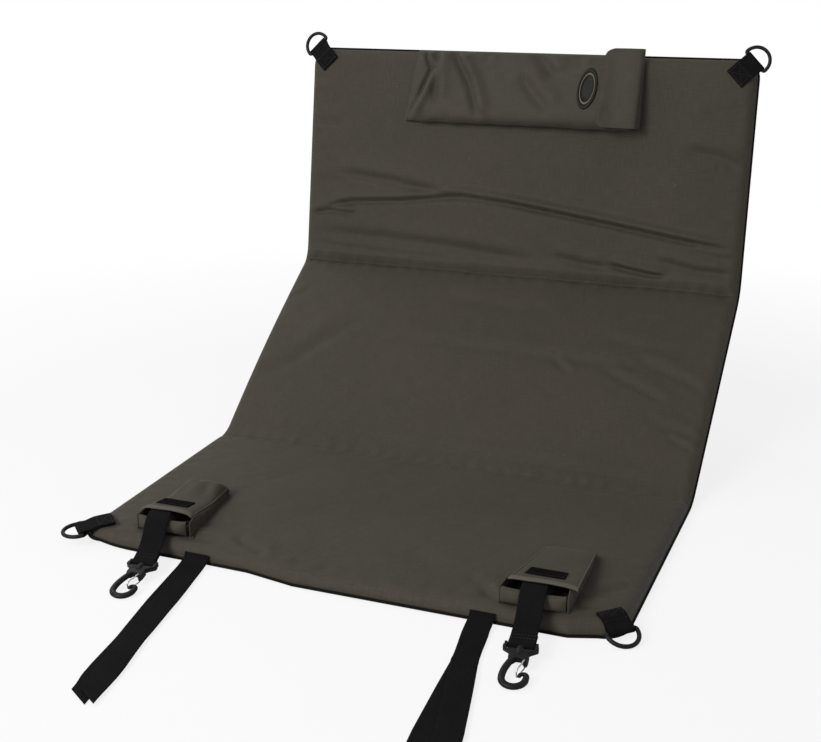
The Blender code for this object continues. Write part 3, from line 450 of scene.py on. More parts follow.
@dataclass(frozen=True)
class MouldedPlastic(Surface):
    """Moulded black plastic with rubbed edges and a fine grain."""

    grain: float = 0.00003
    wear: float = 0.5

    def build(self, effects: Effects) -> bpy.types.Material:
        """Builds the plastic's material.

        Args:
            effects: The shared node groups.

        Returns:
            The material.
        """
        made, nodes, shader = self.start()
        shader.inputs["Specular IOR Level"].default_value = 0.2
        place = nodes.add("ShaderNodeTexCoord").outputs["Object"]
        wear = nodes.add("ShaderNodeGroup", node_tree=effects.edge_wear)
        nodes.link(place, wear.inputs["Place"])
        wear.inputs["Amount"].default_value = self.wear
        fading = nodes.add("ShaderNodeGroup", node_tree=effects.fading)
        nodes.link(place, fading.inputs["Place"])
        fading.inputs["Scale"].default_value = 60.0
        fading.inputs["Dust"].default_value = 0.2
        base = nodes.mix(fading.outputs["Fade"], self.dark, self.colour)
        rubbed = nodes.mix(wear.outputs["Mask"], base, tuple(4.0 * c for c in self.colour))
        nodes.link(nodes.mix(fading.outputs["Dust"], rubbed, (0.12, 0.12, 0.115)), shader.inputs["Base Color"])
        rough = nodes.math("MULTIPLY_ADD", wear.outputs["Mask"], 0.2, self.roughness)
        varied = nodes.math("MULTIPLY_ADD", fading.outputs["Fade"], 0.12, rough)
        nodes.link(varied, shader.inputs["Roughness"])
        self.bump(nodes, shader, [(wear.outputs["Grain"], self.grain)])
        return made


@dataclass(frozen=True)
class PlatedWire(Surface):
    """Plated steel wire with fine drawing marks and dull patches."""

    def build(self, effects: Effects) -> bpy.types.Material:
        """Builds the wire's material.

        Args:
            effects: The shared node groups.

        Returns:
            The material.
        """
        made, nodes, shader = self.start()
        shader.inputs["Metallic"].default_value = 1.0
        place = nodes.add("ShaderNodeTexCoord").outputs["Object"]
        fading = nodes.add("ShaderNodeGroup", node_tree=effects.fading)
        nodes.link(place, fading.inputs["Place"])
        fading.inputs["Scale"].default_value = 160.0
        fading.inputs["Dust"].default_value = 0.1
        nodes.link(nodes.mix(fading.outputs["Fade"], self.dark, self.colour), shader.inputs["Base Color"])
        rough = nodes.math("MULTIPLY_ADD", fading.outputs["Fade"], 0.2, self.roughness)
        nodes.link(rough, shader.inputs["Roughness"])
        self.bump(nodes, shader, [(nodes.noise(place, 2400.0, 1.0), 0.00002)])
        return made


@dataclass(frozen=True)
class HookAndLoop(Surface):
    """The matted loop side of a touch fastener."""

    def build(self, effects: Effects) -> bpy.types.Material:
        """Builds the fastener's material.

        Args:
            effects: The shared node groups.

        Returns:
            The material.
        """
        made, nodes, shader = self.start()
        place = nodes.add("ShaderNodeTexCoord").outputs["Object"]
        shader.inputs["Specular IOR Level"].default_value = 0.04
        loops = nodes.add("ShaderNodeTexVoronoi")
        nodes.link(place, loops.inputs["Vector"])
        loops.inputs["Scale"].default_value = 900.0
        fuzz = nodes.noise(place, 1500.0, 3.0)
        fading = nodes.add("ShaderNodeGroup", node_tree=effects.fading)
        nodes.link(place, fading.inputs["Place"])
        fading.inputs["Dust"].default_value = 0.8
        matted = nodes.mix(nodes.spread(loops.outputs["Distance"], 0.1, 0.7), self.colour, self.dark)
        nodes.link(nodes.mix(fading.outputs["Dust"], matted, (0.16, 0.16, 0.15)), shader.inputs["Base Color"])
        self.bump(nodes, shader, [(loops.outputs["Distance"], 0.0003), (fuzz, 0.0003)])
        return made


@dataclass(frozen=True)
class BadgeRubber(Surface):
    """Soft moulded rubber, its raised lines paler than its ground."""

    line: tuple[float, float, float] = (0.17, 0.155, 0.085)

    def build(self, effects: Effects) -> bpy.types.Material:
        """Builds the badge's material from the piece's own map, which holds each ring's share of the oval.

        Args:
            effects: The shared node groups.

        Returns:
            The material.
        """
        made, nodes, shader = self.start()
        own, place = self.map_and_place(nodes)
        shader.inputs["Specular IOR Level"].default_value = 0.15
        parts = nodes.add("ShaderNodeSeparateXYZ")
        nodes.link(own, parts.inputs[0])
        share = parts.outputs[0]
        ring = nodes.math(
            "MULTIPLY", nodes.spread(share, 0.66, 0.69), nodes.spread(share, 0.74, 0.77, 1.0, 0.0), clamp=True
        )
        fading = nodes.add("ShaderNodeGroup", node_tree=effects.fading)
        nodes.link(place, fading.inputs["Place"])
        fading.inputs["Scale"].default_value = 90.0
        fading.inputs["Dust"].default_value = 0.5
        ground = nodes.mix(fading.outputs["Fade"], self.dark, self.colour)
        lined = nodes.mix(ring, ground, self.line)
        nodes.link(nodes.mix(fading.outputs["Dust"], lined, (0.14, 0.14, 0.12)), shader.inputs["Base Color"])
        grain = nodes.noise(place, 1300.0, 2.0)
        self.bump(nodes, shader, [(ring, 0.0004), (grain, 0.00006)])
        return made


@dataclass(frozen=True)
class SewingThread(Surface):
    """Twisted bonded thread."""

    def build(self, effects: Effects) -> bpy.types.Material:
        """Builds the thread's material.

        Args:
            effects: The shared node groups.

        Returns:
            The material.
        """
        made, nodes, shader = self.start()
        place = nodes.add("ShaderNodeTexCoord").outputs["Object"]
        fading = nodes.add("ShaderNodeGroup", node_tree=effects.fading)
        nodes.link(place, fading.inputs["Place"])
        fading.inputs["Scale"].default_value = 40.0
        twist = nodes.noise(place, 3200.0, 1.0)
        nodes.link(nodes.mix(fading.outputs["Fade"], self.dark, self.colour), shader.inputs["Base Color"])
        self.bump(nodes, shader, [(twist, 0.0001)])
        return made


class Finishes:
    """Every material of the mat, by the name of what it covers."""

    def __init__(self, effects: Effects) -> None:
        """Builds the materials.

        Args:
            effects: The shared node groups.
        """
        olive = (0.066, 0.058, 0.044)
        shade = (0.045, 0.040, 0.031)
        self.cover = WovenNylon("olive woven nylon", olive, shade, 0.66).build(effects)
        self.pocket = WovenNylon(
            "pocket nylon", olive, shade, 0.60, sheen=0.08, crinkle=0.0003
        ).build(effects)
        # Painted highlight: the hem's nylon is the olive cover cloth painted paler. It stands in for light caught by
        # the flap's turned front edge and raised side seams.
        self.hem = WovenNylon(
            "highlit turned nylon edge", (0.115, 0.105, 0.080), (0.080, 0.072, 0.055), 0.66, crinkle=0.0002
        ).build(effects)
        self.webbing = Webbing("black webbing", (0.0075, 0.0075, 0.0080), (0.0035, 0.0035, 0.0038), 0.8).build(effects)
        self.piping = Webbing(
            "black edge binding", (0.0085, 0.0080, 0.0072), (0.0045, 0.0043, 0.0040), 0.75, ribs=900.0
        ).build(effects)
        self.plastic = MouldedPlastic(
            "moulded black plastic", (0.0050, 0.0050, 0.0054), (0.0035, 0.0035, 0.0038), 0.40
        ).build(effects)
        self.wire = PlatedWire("plated wire", (0.60, 0.60, 0.61), (0.42, 0.42, 0.43), 0.22).build(effects)
        self.fastener = HookAndLoop("touch fastener", (0.0062, 0.0062, 0.0066), (0.0030, 0.0030, 0.0032), 0.95).build(effects)
        self.badge = BadgeRubber("badge rubber", (0.011, 0.011, 0.009), (0.007, 0.007, 0.006), 0.5).build(effects)
        self.olive_thread = SewingThread("olive thread", (0.055, 0.050, 0.036), (0.034, 0.031, 0.023), 0.7).build(effects)
        self.black_thread = SewingThread("black thread", (0.013, 0.013, 0.014), (0.007, 0.007, 0.0075), 0.7).build(effects)


# ---------------------------------------------------------------- pieces


@dataclass
class Piece:
    """A mesh being shaped, which becomes one object of the mat."""

    name: str
    finish: bpy.types.Material
    slot: str

    MAP_NAME = "Own map"

    def make(
        self,
        mesh: bmesh.types.BMesh,
        body: Optional[str] = "front_panel",
        replaces: Sequence[str] = (),
        smooth: bool = True,
        place: Optional[Matrix] = None,
    ) -> bpy.types.Object:
        """Turns the shaped mesh into an object in its place.

        Args:
            mesh: The shape, which is freed.
            body: The CAD body it rides on, or None to leave it riding on none.
            replaces: The CAD nodes that it stands for.
            smooth: Whether it is shaded smooth.
            place: The frame that the shape was made in.

        Returns:
            The object.
        """
        if place is not None:
            mesh.transform(place)
        data = bpy.data.meshes.new(self.name)
        mesh.to_mesh(data)
        mesh.free()
        if smooth:
            data.shade_smooth()
        made = bpy.data.objects.new(self.name, data)
        bpy.context.scene.collection.objects.link(made)
        data.materials.append(self.finish)
        if replaces:
            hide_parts(*replaces)
        if body is not None:
            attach(made, body)
        LOG.info("%s: %d faces", self.name, len(data.polygons))
        return made


def add_modifier(piece: bpy.types.Object, kind: str, **settings: object) -> None:
    """Adds a modifier to a piece and sets its properties."""
    modifier = piece.modifiers.new(kind.title(), kind)
    for name, value in settings.items():
        setattr(modifier, name, value)


def thicken(piece: bpy.types.Object, thickness: float, rounding: float = 0.0, offset: float = 0.0) -> None:
    """Gives a sheet its thickness and rounded edges.

    Args:
        piece: The sheet.
        thickness: Its thickness in metres.
        rounding: The width of its edges' rounding.
        offset: -1 to 1, the side that grows.
    """
    add_modifier(piece, "SOLIDIFY", thickness=thickness, offset=offset)
    if rounding:
        add_modifier(
            piece, "BEVEL", width=rounding, segments=2, limit_method="ANGLE", angle_limit=math.radians(50)
        )


def soften(piece: bpy.types.Object, levels: int = 1) -> None:
    """Adds a subdivision surface."""
    add_modifier(piece, "SUBSURF", levels=levels, render_levels=levels)


def placed(position: Sequence[float], x_axis: Sequence[float], y_axis: Sequence[float]) -> Matrix:
    """A frame from its place and two of its axes.

    Args:
        position: Its origin.
        x_axis: Its X axis.
        y_axis: Its Y axis.

    Returns:
        The matrix from that frame to the part's.
    """
    x = Vector(x_axis).normalized()
    y = Vector(y_axis).normalized()
    z = x.cross(y)
    made = Matrix((x, y, z)).transposed().to_4x4()
    made.translation = Vector(position)
    return made


def table(points: Sequence[tuple[float, float]], at: np.ndarray) -> np.ndarray:
    """Values between the points of a table, in straight lines."""
    return np.interp(at, [p[0] for p in points], [p[1] for p in points])


def eased(value: np.ndarray, low: float, high: float) -> np.ndarray:
    """Rises smoothly from 0 at low to 1 at high."""
    share = np.clip((value - low) / (high - low), 0.0, 1.0)
    return share * share * (3 - 2 * share)


def curve_through(points: Sequence[Sequence[float]], step: float) -> np.ndarray:
    """A smooth curve through points, with even steps.

    Args:
        points: The points that it passes.
        step: The distance between the points of the result.

    Returns:
        An array of points.
    """
    known = np.array(points, float)
    spans = np.linalg.norm(np.diff(known, axis=0), axis=1)
    along = np.concatenate([[0.0], np.cumsum(spans)])
    slopes = np.gradient(known, along, axis=0)
    fine = np.linspace(0.0, along[-1], max(int(along[-1] / step * 4), 8))
    cell = np.clip(np.searchsorted(along, fine, side="right") - 1, 0, len(spans) - 1)
    width = spans[cell][:, None]
    t = ((fine - along[cell]) / spans[cell])[:, None]
    curve = (
        (2 * t**3 - 3 * t**2 + 1) * known[cell]
        + (t**3 - 2 * t**2 + t) * width * slopes[cell]
        + (3 * t**2 - 2 * t**3) * known[cell + 1]
        + (t**3 - t**2) * width * slopes[cell + 1]
    )
    travelled = np.concatenate([[0.0], np.cumsum(np.linalg.norm(np.diff(curve, axis=0), axis=1))])
    even = np.linspace(0.0, travelled[-1], max(int(round(travelled[-1] / step)) + 1, 3))
    return np.stack([np.interp(even, travelled, curve[:, k]) for k in range(known.shape[1])], axis=1)


def cells(mesh: bmesh.types.BMesh) -> tuple[np.ndarray, np.ndarray, np.ndarray]:
    """The column and row of each point of a grid, and its level."""
    co = np.array([v.co[:] for v in mesh.verts])
    columns = np.unique(np.round(co[:, 0], 5), return_inverse=True)[1]
    rows = np.unique(np.round(co[:, 1], 5), return_inverse=True)[1]
    return columns.reshape(-1), rows.reshape(-1), co[:, 2]


def new_grid(columns: int, rows: int) -> bmesh.types.BMesh:
    """A flat grid of so many cells, to be laid in place."""
    mesh = bmesh.new()
    bmesh.ops.create_grid(mesh, x_segments=columns, y_segments=rows, size=1.0, calc_uvs=True)
    return mesh


def lay(mesh: bmesh.types.BMesh, points: np.ndarray) -> None:
    """Moves every point of a mesh."""
    for vert, point in zip(mesh.verts, points):
        vert.co = point


def write_map(mesh: bmesh.types.BMesh, across: np.ndarray, along: np.ndarray, wrap: float = 0.0) -> None:
    """Writes the piece's own map, in metres, from two values at each point.

    Args:
        mesh: The mesh.
        across: The first value at each point.
        along: The second value at each point.
        wrap: The first value's full turn where it runs round a tube.
    """
    mesh.verts.index_update()
    layer = mesh.loops.layers.uv.get(Piece.MAP_NAME) or mesh.loops.layers.uv.new(Piece.MAP_NAME)
    for face in mesh.faces:
        first = across[face.loops[0].vert.index]
        for loop in face.loops:
            i = loop.vert.index
            value = across[i]
            if wrap:
                value += wrap * round((first - value) / wrap)
            loop[layer].uv = (value, along[i])


def sheet_from(points: np.ndarray, widths: np.ndarray, lengths: np.ndarray) -> bmesh.types.BMesh:
    """A sheet through a net of points.

    Args:
        points: Rows by columns of points.
        widths: Each column's distance across the cloth.
        lengths: Each row's distance along the cloth.

    Returns:
        The mesh.
    """
    rows, columns = points.shape[:2]
    mesh = new_grid(columns - 1, rows - 1)
    i, j, _ = cells(mesh)
    write_map(mesh, widths[i], lengths[j])
    lay(mesh, points[j, i])
    return mesh


def frames_along(path: np.ndarray, up: object, closed: bool = False) -> list[Matrix]:
    """A frame at each point of a path: X across it, Y up and Z along it.

    Args:
        path: The points.
        up: One direction, or one for each point.
        closed: Whether the path's end meets its start.

    Returns:
        The frames.
    """
    if closed:
        ahead = np.roll(path, -1, axis=0) - np.roll(path, 1, axis=0)
    else:
        ahead = np.gradient(path, axis=0)
    ups = np.broadcast_to(np.array(up, float), path.shape)
    frames = []
    for point, way, over in zip(path, ahead, ups):
        z = Vector(way).normalized()
        x = Vector(over).cross(z).normalized()
        made = Matrix((x, z.cross(x), z)).transposed().to_4x4()
        made.translation = Vector(point)
        frames.append(made)
    return frames


def sweep(
    frames: Sequence[Matrix],
    halves: Sequence[tuple[float, float]],
    sides: int,
    closed: bool = False,
) -> bmesh.types.BMesh:
    """A rounded bar through frames, extruded ring by ring.

    Args:
        frames: A frame at each ring.
        halves: Each ring's half width and half height.
        sides: The number of sides.
        closed: Whether the last ring meets the first.

    Returns:
        The mesh, with its own map.
    """
    mesh = bmesh.new()
    round_layer = mesh.verts.layers.float.new("around")
    along_layer = mesh.verts.layers.float.new("along")
    places = [f @ Matrix.Diagonal((w, h, 1.0, 1.0)) for f, (w, h) in zip(frames, halves)]
    ring = bmesh.ops.create_circle(mesh, cap_ends=False, radius=1.0, segments=sides)["verts"]
    perimeter = math.pi * (halves[0][0] + halves[0][1])
    for step, vert in enumerate(ring):
        vert[round_layer] = perimeter * step / sides
    bmesh.ops.transform(mesh, matrix=places[0], verts=ring)
    first = list(mesh.edges)
    edges = first
    length = 0.0
    for before, after in zip(places, places[1:]):
        length += (after.translation - before.translation).length
        made = bmesh.ops.extrude_edge_only(mesh, edges=edges)["geom"]
        ring = [item for item in made if isinstance(item, bmesh.types.BMVert)]
        edges = [
            item for item in made if isinstance(item, bmesh.types.BMEdge) and all(v in ring for v in item.verts)
        ]
        bmesh.ops.transform(mesh, matrix=after @ before.inverted(), verts=ring)
        for vert in ring:
            vert[along_layer] = length
    if closed:
        bmesh.ops.bridge_loops(mesh, edges=first + edges)
    else:
        for loop in (first, edges):
            bmesh.ops.contextual_create(mesh, geom=loop)
    bmesh.ops.recalc_face_normals(mesh, faces=mesh.faces)
    around = np.array([v[round_layer] for v in mesh.verts])
    along = np.array([v[along_layer] for v in mesh.verts])
    write_map(mesh, around, along, perimeter)
    return mesh


def merged(meshes: Iterable[bmesh.types.BMesh]) -> bmesh.types.BMesh:
    """Several meshes as one."""
    whole = bmesh.new()
    for mesh in meshes:
        data = bpy.data.meshes.new("part")
        mesh.to_mesh(data)
        mesh.free()
        whole.from_mesh(data)
        bpy.data.meshes.remove(data)
    return whole


@dataclass(frozen=True)
class Stitching:
    """A row of lock stitches: short low beads of thread lying on the cloth."""

    finish: bpy.types.Material
    length: float = 0.0026
    pitch: float = 0.0034
    radius: float = 0.0004

    def sew(
        self, name: str, path: Sequence[Sequence[float]], up: Sequence[float], body: Optional[str], slot: str = "webbing"
    ) -> bpy.types.Object:
        """Sews one row of stitches.

        Args:
            name: The row's name.
            path: The points it passes.
            up: The way that the cloth faces.
            body: The body that it rides on.
            slot: A slot label, which is stored on the piece but not used.

        Returns:
            The row as one object.
        """
        line = curve_through(path, self.pitch)
        mesh = bmesh.new()
        for frame in frames_along(line, up):
            shape = Matrix.Diagonal((self.radius, self.radius * 0.7, self.length / 2, 1.0))
            bmesh.ops.create_icosphere(mesh, subdivisions=1, radius=1.0, matrix=frame @ shape)
        return Piece(name, self.finish, slot).make(mesh, body)


@dataclass(frozen=True)
class Strap:
    """Flat webbing of one thickness that follows a path."""

    finish: bpy.types.Material
    thickness: float = 0.0015
    columns: int = 8

    def net(self, path: np.ndarray, halves: np.ndarray, hollow: float = 0.0) -> np.ndarray:
        """The strap's middle surface.

        Args:
            path: Points along its middle.
            halves: The vector from the middle to its edge at each point.
            hollow: How far its middle dips below its edges.

        Returns:
            Rows by columns of points.
        """
        shares = np.linspace(-1.0, 1.0, self.columns + 1)
        net = path[:, None, :] + shares[None, :, None] * halves[:, None, :]
        if hollow:
            ahead = np.gradient(path, axis=0)
            normal = np.cross(halves, ahead)
            normal /= np.linalg.norm(normal, axis=1)[:, None]
            net += normal[:, None, :] * (hollow * (shares**2 - 1))[None, :, None]
        return net

    def weave(
        self,
        name: str,
        path: np.ndarray,
        halves: np.ndarray,
        body: Optional[str],
        replaces: Sequence[str] = (),
        place: Optional[Matrix] = None,
        hollow: float = 0.0,
    ) -> bpy.types.Object:
        """Makes the strap.

        Args:
            name: Its name.
            path: Points along its middle.
            halves: The vector from the middle to its edge at each point.
            body: The body that it rides on.
            replaces: The CAD nodes that it stands for.
            place: The frame of the path.
            hollow: How far its middle dips below its edges.

        Returns:
            The strap.
        """
        net = self.net(path, halves, hollow)
        lengths = np.concatenate([[0.0], np.cumsum(np.linalg.norm(np.diff(path, axis=0), axis=1))])
        widths = np.linspace(-1.0, 1.0, self.columns + 1) * float(np.linalg.norm(halves[0]))
        made = Piece(name, self.finish, "webbing").make(
            sheet_from(net, widths, lengths), body, replaces, place=place
        )
        thicken(made, self.thickness, 0.0004)
        return made


# ---------------------------------------------------------------- the padded mat


@dataclass(frozen=True)
class MatPath:
    """The line that the mat's top surface follows from front to rear, with its two soft folds."""

    start: tuple[float, float] = (0.1745, 0.0225)
    middle_length: float = 0.3275
    front_angle: float = math.radians(34.5)
    rear_angle: float = math.radians(80.4)
    front_reach: float = 0.0125
    rear_reach: float = 0.013

    def bend(
        self, u: np.ndarray, h: np.ndarray, y: np.ndarray, z: np.ndarray, at: float, angles: tuple[float, float], reach: float
    ) -> None:
        """Rounds one fold off, in place."""
        before, after = angles
        turn = after - before
        radius = reach / math.tan(turn / 2)
        inside = np.abs(u - at) < reach
        corner_y = self.start[0] + (math.cos(before) * at if at else 0.0)
        corner_z = self.start[1] + (math.sin(before) * at if at else 0.0)
        tangent = (corner_y - reach * math.cos(before), corner_z - reach * math.sin(before))
        centre = (tangent[0] - radius * math.sin(before), tangent[1] + radius * math.cos(before))
        angle = before + turn * (u[inside] - at + reach) / (2 * reach)
        y[inside] = centre[0] + (radius - h[inside]) * np.sin(angle)
        z[inside] = centre[1] - (radius - h[inside]) * np.cos(angle)

    def lay(self, u: np.ndarray, h: np.ndarray) -> tuple[np.ndarray, np.ndarray]:
        """Places points of the mat.

        Args:
            u: Their path lengths from the front fold.
            h: Their heights over the mat's top.

        Returns:
            Their Y and Z.
        """
        u = np.asarray(u, float)
        h = np.asarray(h, float)
        angle = np.where(u < 0, 0.0, np.where(u < self.middle_length, self.front_angle, self.rear_angle))
        past = np.clip(u - self.middle_length, 0.0, None)
        on_middle = np.clip(u, 0.0, self.middle_length)
        y = self.start[0] + np.minimum(u, 0.0) + on_middle * math.cos(self.front_angle) + past * math.cos(self.rear_angle)
        z = self.start[1] + on_middle * math.sin(self.front_angle) + past * math.sin(self.rear_angle)
        y = y - h * np.sin(angle)
        z = z + h * np.cos(angle)
        self.bend(u, h, y, z, 0.0, (0.0, self.front_angle), self.front_reach)
        self.bend(u, h, y, z, self.middle_length, (self.front_angle, self.rear_angle), self.rear_reach)
        return y, z

    def point(self, x: float, u: float, h: float) -> Vector:
        """One point of the mat."""
        y, z = self.lay(np.array([u]), np.array([h]))
        return Vector((x, float(y[0]), float(z[0])))

    def normal(self, u: float) -> Vector:
        """The way that the top faces at a path length."""
        return (self.point(0.0, u, 0.01) - self.point(0.0, u, 0.0)).normalized()


@dataclass(frozen=True)
class Wrinkle:
    """A fold in the cloth: a valley along a line, with a raised side."""

    line: tuple[tuple[float, float], ...]
    depth: float
    width: float = 0.005
    ridge: float = 0.8

    def height(self, x: np.ndarray, u: np.ndarray) -> np.ndarray:
        """The wrinkle's height over the cloth.

        Args:
            x: Places across the mat.
            u: Places along it.

        Returns:
            The heights.
        """
        line = np.array(self.line, float)
        spans = np.diff(line, axis=0)
        lengths = np.linalg.norm(spans, axis=1)
        before = np.concatenate([[0.0], np.cumsum(lengths)])
        nearest = np.full(x.shape, np.inf)
        signed = np.zeros(x.shape)
        along = np.zeros(x.shape)
        for k, span in enumerate(spans):
            dx = x - line[k, 0]
            du = u - line[k, 1]
            t = np.clip((dx * span[0] + du * span[1]) / lengths[k] ** 2, 0.0, 1.0)
            away = np.hypot(dx - t * span[0], du - t * span[1])
            side = (span[0] * du - span[1] * dx) / lengths[k]
            closer = away < nearest
            nearest = np.where(closer, away, nearest)
            signed = np.where(closer, np.sign(side) * away, signed)
            along = np.where(closer, before[k] + t * lengths[k], along)
        share = along / before[-1]
        fade = eased(share, 0.0, 0.22) * eased(1 - share, 0.0, 0.22)
        valley = -np.exp(-((signed / self.width) ** 2))
        raised = np.exp(-(((signed - 2.1 * self.width) / (1.5 * self.width)) ** 2))
        return self.depth * fade * (valley + self.ridge * raised)


def slow_noise(x: np.ndarray, u: np.ndarray, size: float, seed: int) -> np.ndarray:
    """Smooth seeded unevenness between about -1 and 1."""
    random = np.random.default_rng(seed)
    total = np.zeros(x.shape)
    for _ in range(9):
        angle, phase, stretch = random.uniform(0, 2 * math.pi), random.uniform(0, 2 * math.pi), random.uniform(0.6, 1.7)
        total += np.sin((x * math.cos(angle) + u * math.sin(angle)) * 2 * math.pi / (size * stretch) + phase)
    return total / 4.0


@dataclass(frozen=True)
class MatShape:
    """The sizes that the three padded covers share."""

    half: float = 0.3259
    depth: float = 0.0225
    corner: float = 0.025
    roll: float = 0.014
    wall_top: float = 0.005
    edge: float = 0.019
    crown: float = 0.003
    crown_reach: float = 0.120
    front_low: float = -0.3447
    rear_high: float = 0.3275 + 0.3067
    bow_reach: float = 0.120
    path: MatPath = MatPath()
    bows: tuple[tuple[float, float], ...] = (
        (-0.3257, 0.0),
        (-0.3007, -0.0035),
        (-0.180, -0.003),
        (-0.105, -0.001),
        (-0.042, 0.0105),
        (0.271, 0.0120),
        (0.3007, 0.0020),
        (0.3257, 0.0),
    )
    inner_step: float = 0.0029

    def bow(self, x: np.ndarray, u: np.ndarray) -> np.ndarray:
        """How far the cloth is drawn forward by the curved front edge."""
        fade = np.clip(1 - (u - self.front_low) / self.bow_reach, 0.0, 1.0) ** 2
        return table(self.bows, x) * fade

    def drawn_up(self, x: np.ndarray, u: np.ndarray) -> np.ndarray:
        """How far the front left corner's underside is drawn up into its tab."""
        away = np.hypot(x + self.half, u - self.front_low)
        return 0.0085 * np.exp(-((away / 0.034) ** 2))

    def top(self, inset: np.ndarray) -> np.ndarray:
        """The crowned top's height over the underside, at a distance from the edge."""
        rolled = np.clip(self.roll - inset, 0.0, self.roll)
        round_part = self.wall_top + np.sqrt(np.clip(self.roll**2 - rolled**2, 0.0, None))
        t = np.clip((inset - self.roll) / self.crown_reach, 0.0, 1.0)
        return np.where(inset < self.roll, round_part, self.edge + self.crown * (1 - (1 - t) ** 2))

    def spacing(self, low: float, high: float, low_outer: bool, high_outer: bool, creases: Sequence[float]) -> np.ndarray:
        """Grid lines along one direction, close at rolled edges and creases.

        Args:
            low: The first line.
            high: The last line.
            low_outer: Whether the low end is rolled over.
            high_outer: Whether the high end is rolled over.
            creases: Places that get closer lines.

        Returns:
            The lines' places.
        """
        near = self.roll * (1 - np.cos(np.linspace(0.0, RIGHT_ANGLE, 8)))
        cap = np.append(near, [0.0174, 0.0210, self.corner])
        start = low + cap if low_outer else np.array([low])
        end = high - cap[::-1] if high_outer else np.array([high])
        lines = [start]
        place = start[-1]
        inside = []
        while place < end[0] - 0.0012:
            gap = min([abs(place - c) for c in creases], default=1.0)
            place += self.inner_step * (0.45 if gap < 0.014 else 0.7 if gap < 0.03 else 1.0)
            inside.append(place)
        if inside:
            inner = np.array(inside)
            inner = start[-1] + (inner - start[-1]) * (end[0] - start[-1]) / (inner[-1] - start[-1])
            lines.append(inner[:-1])
        lines.append(end)
        return np.concatenate(lines)


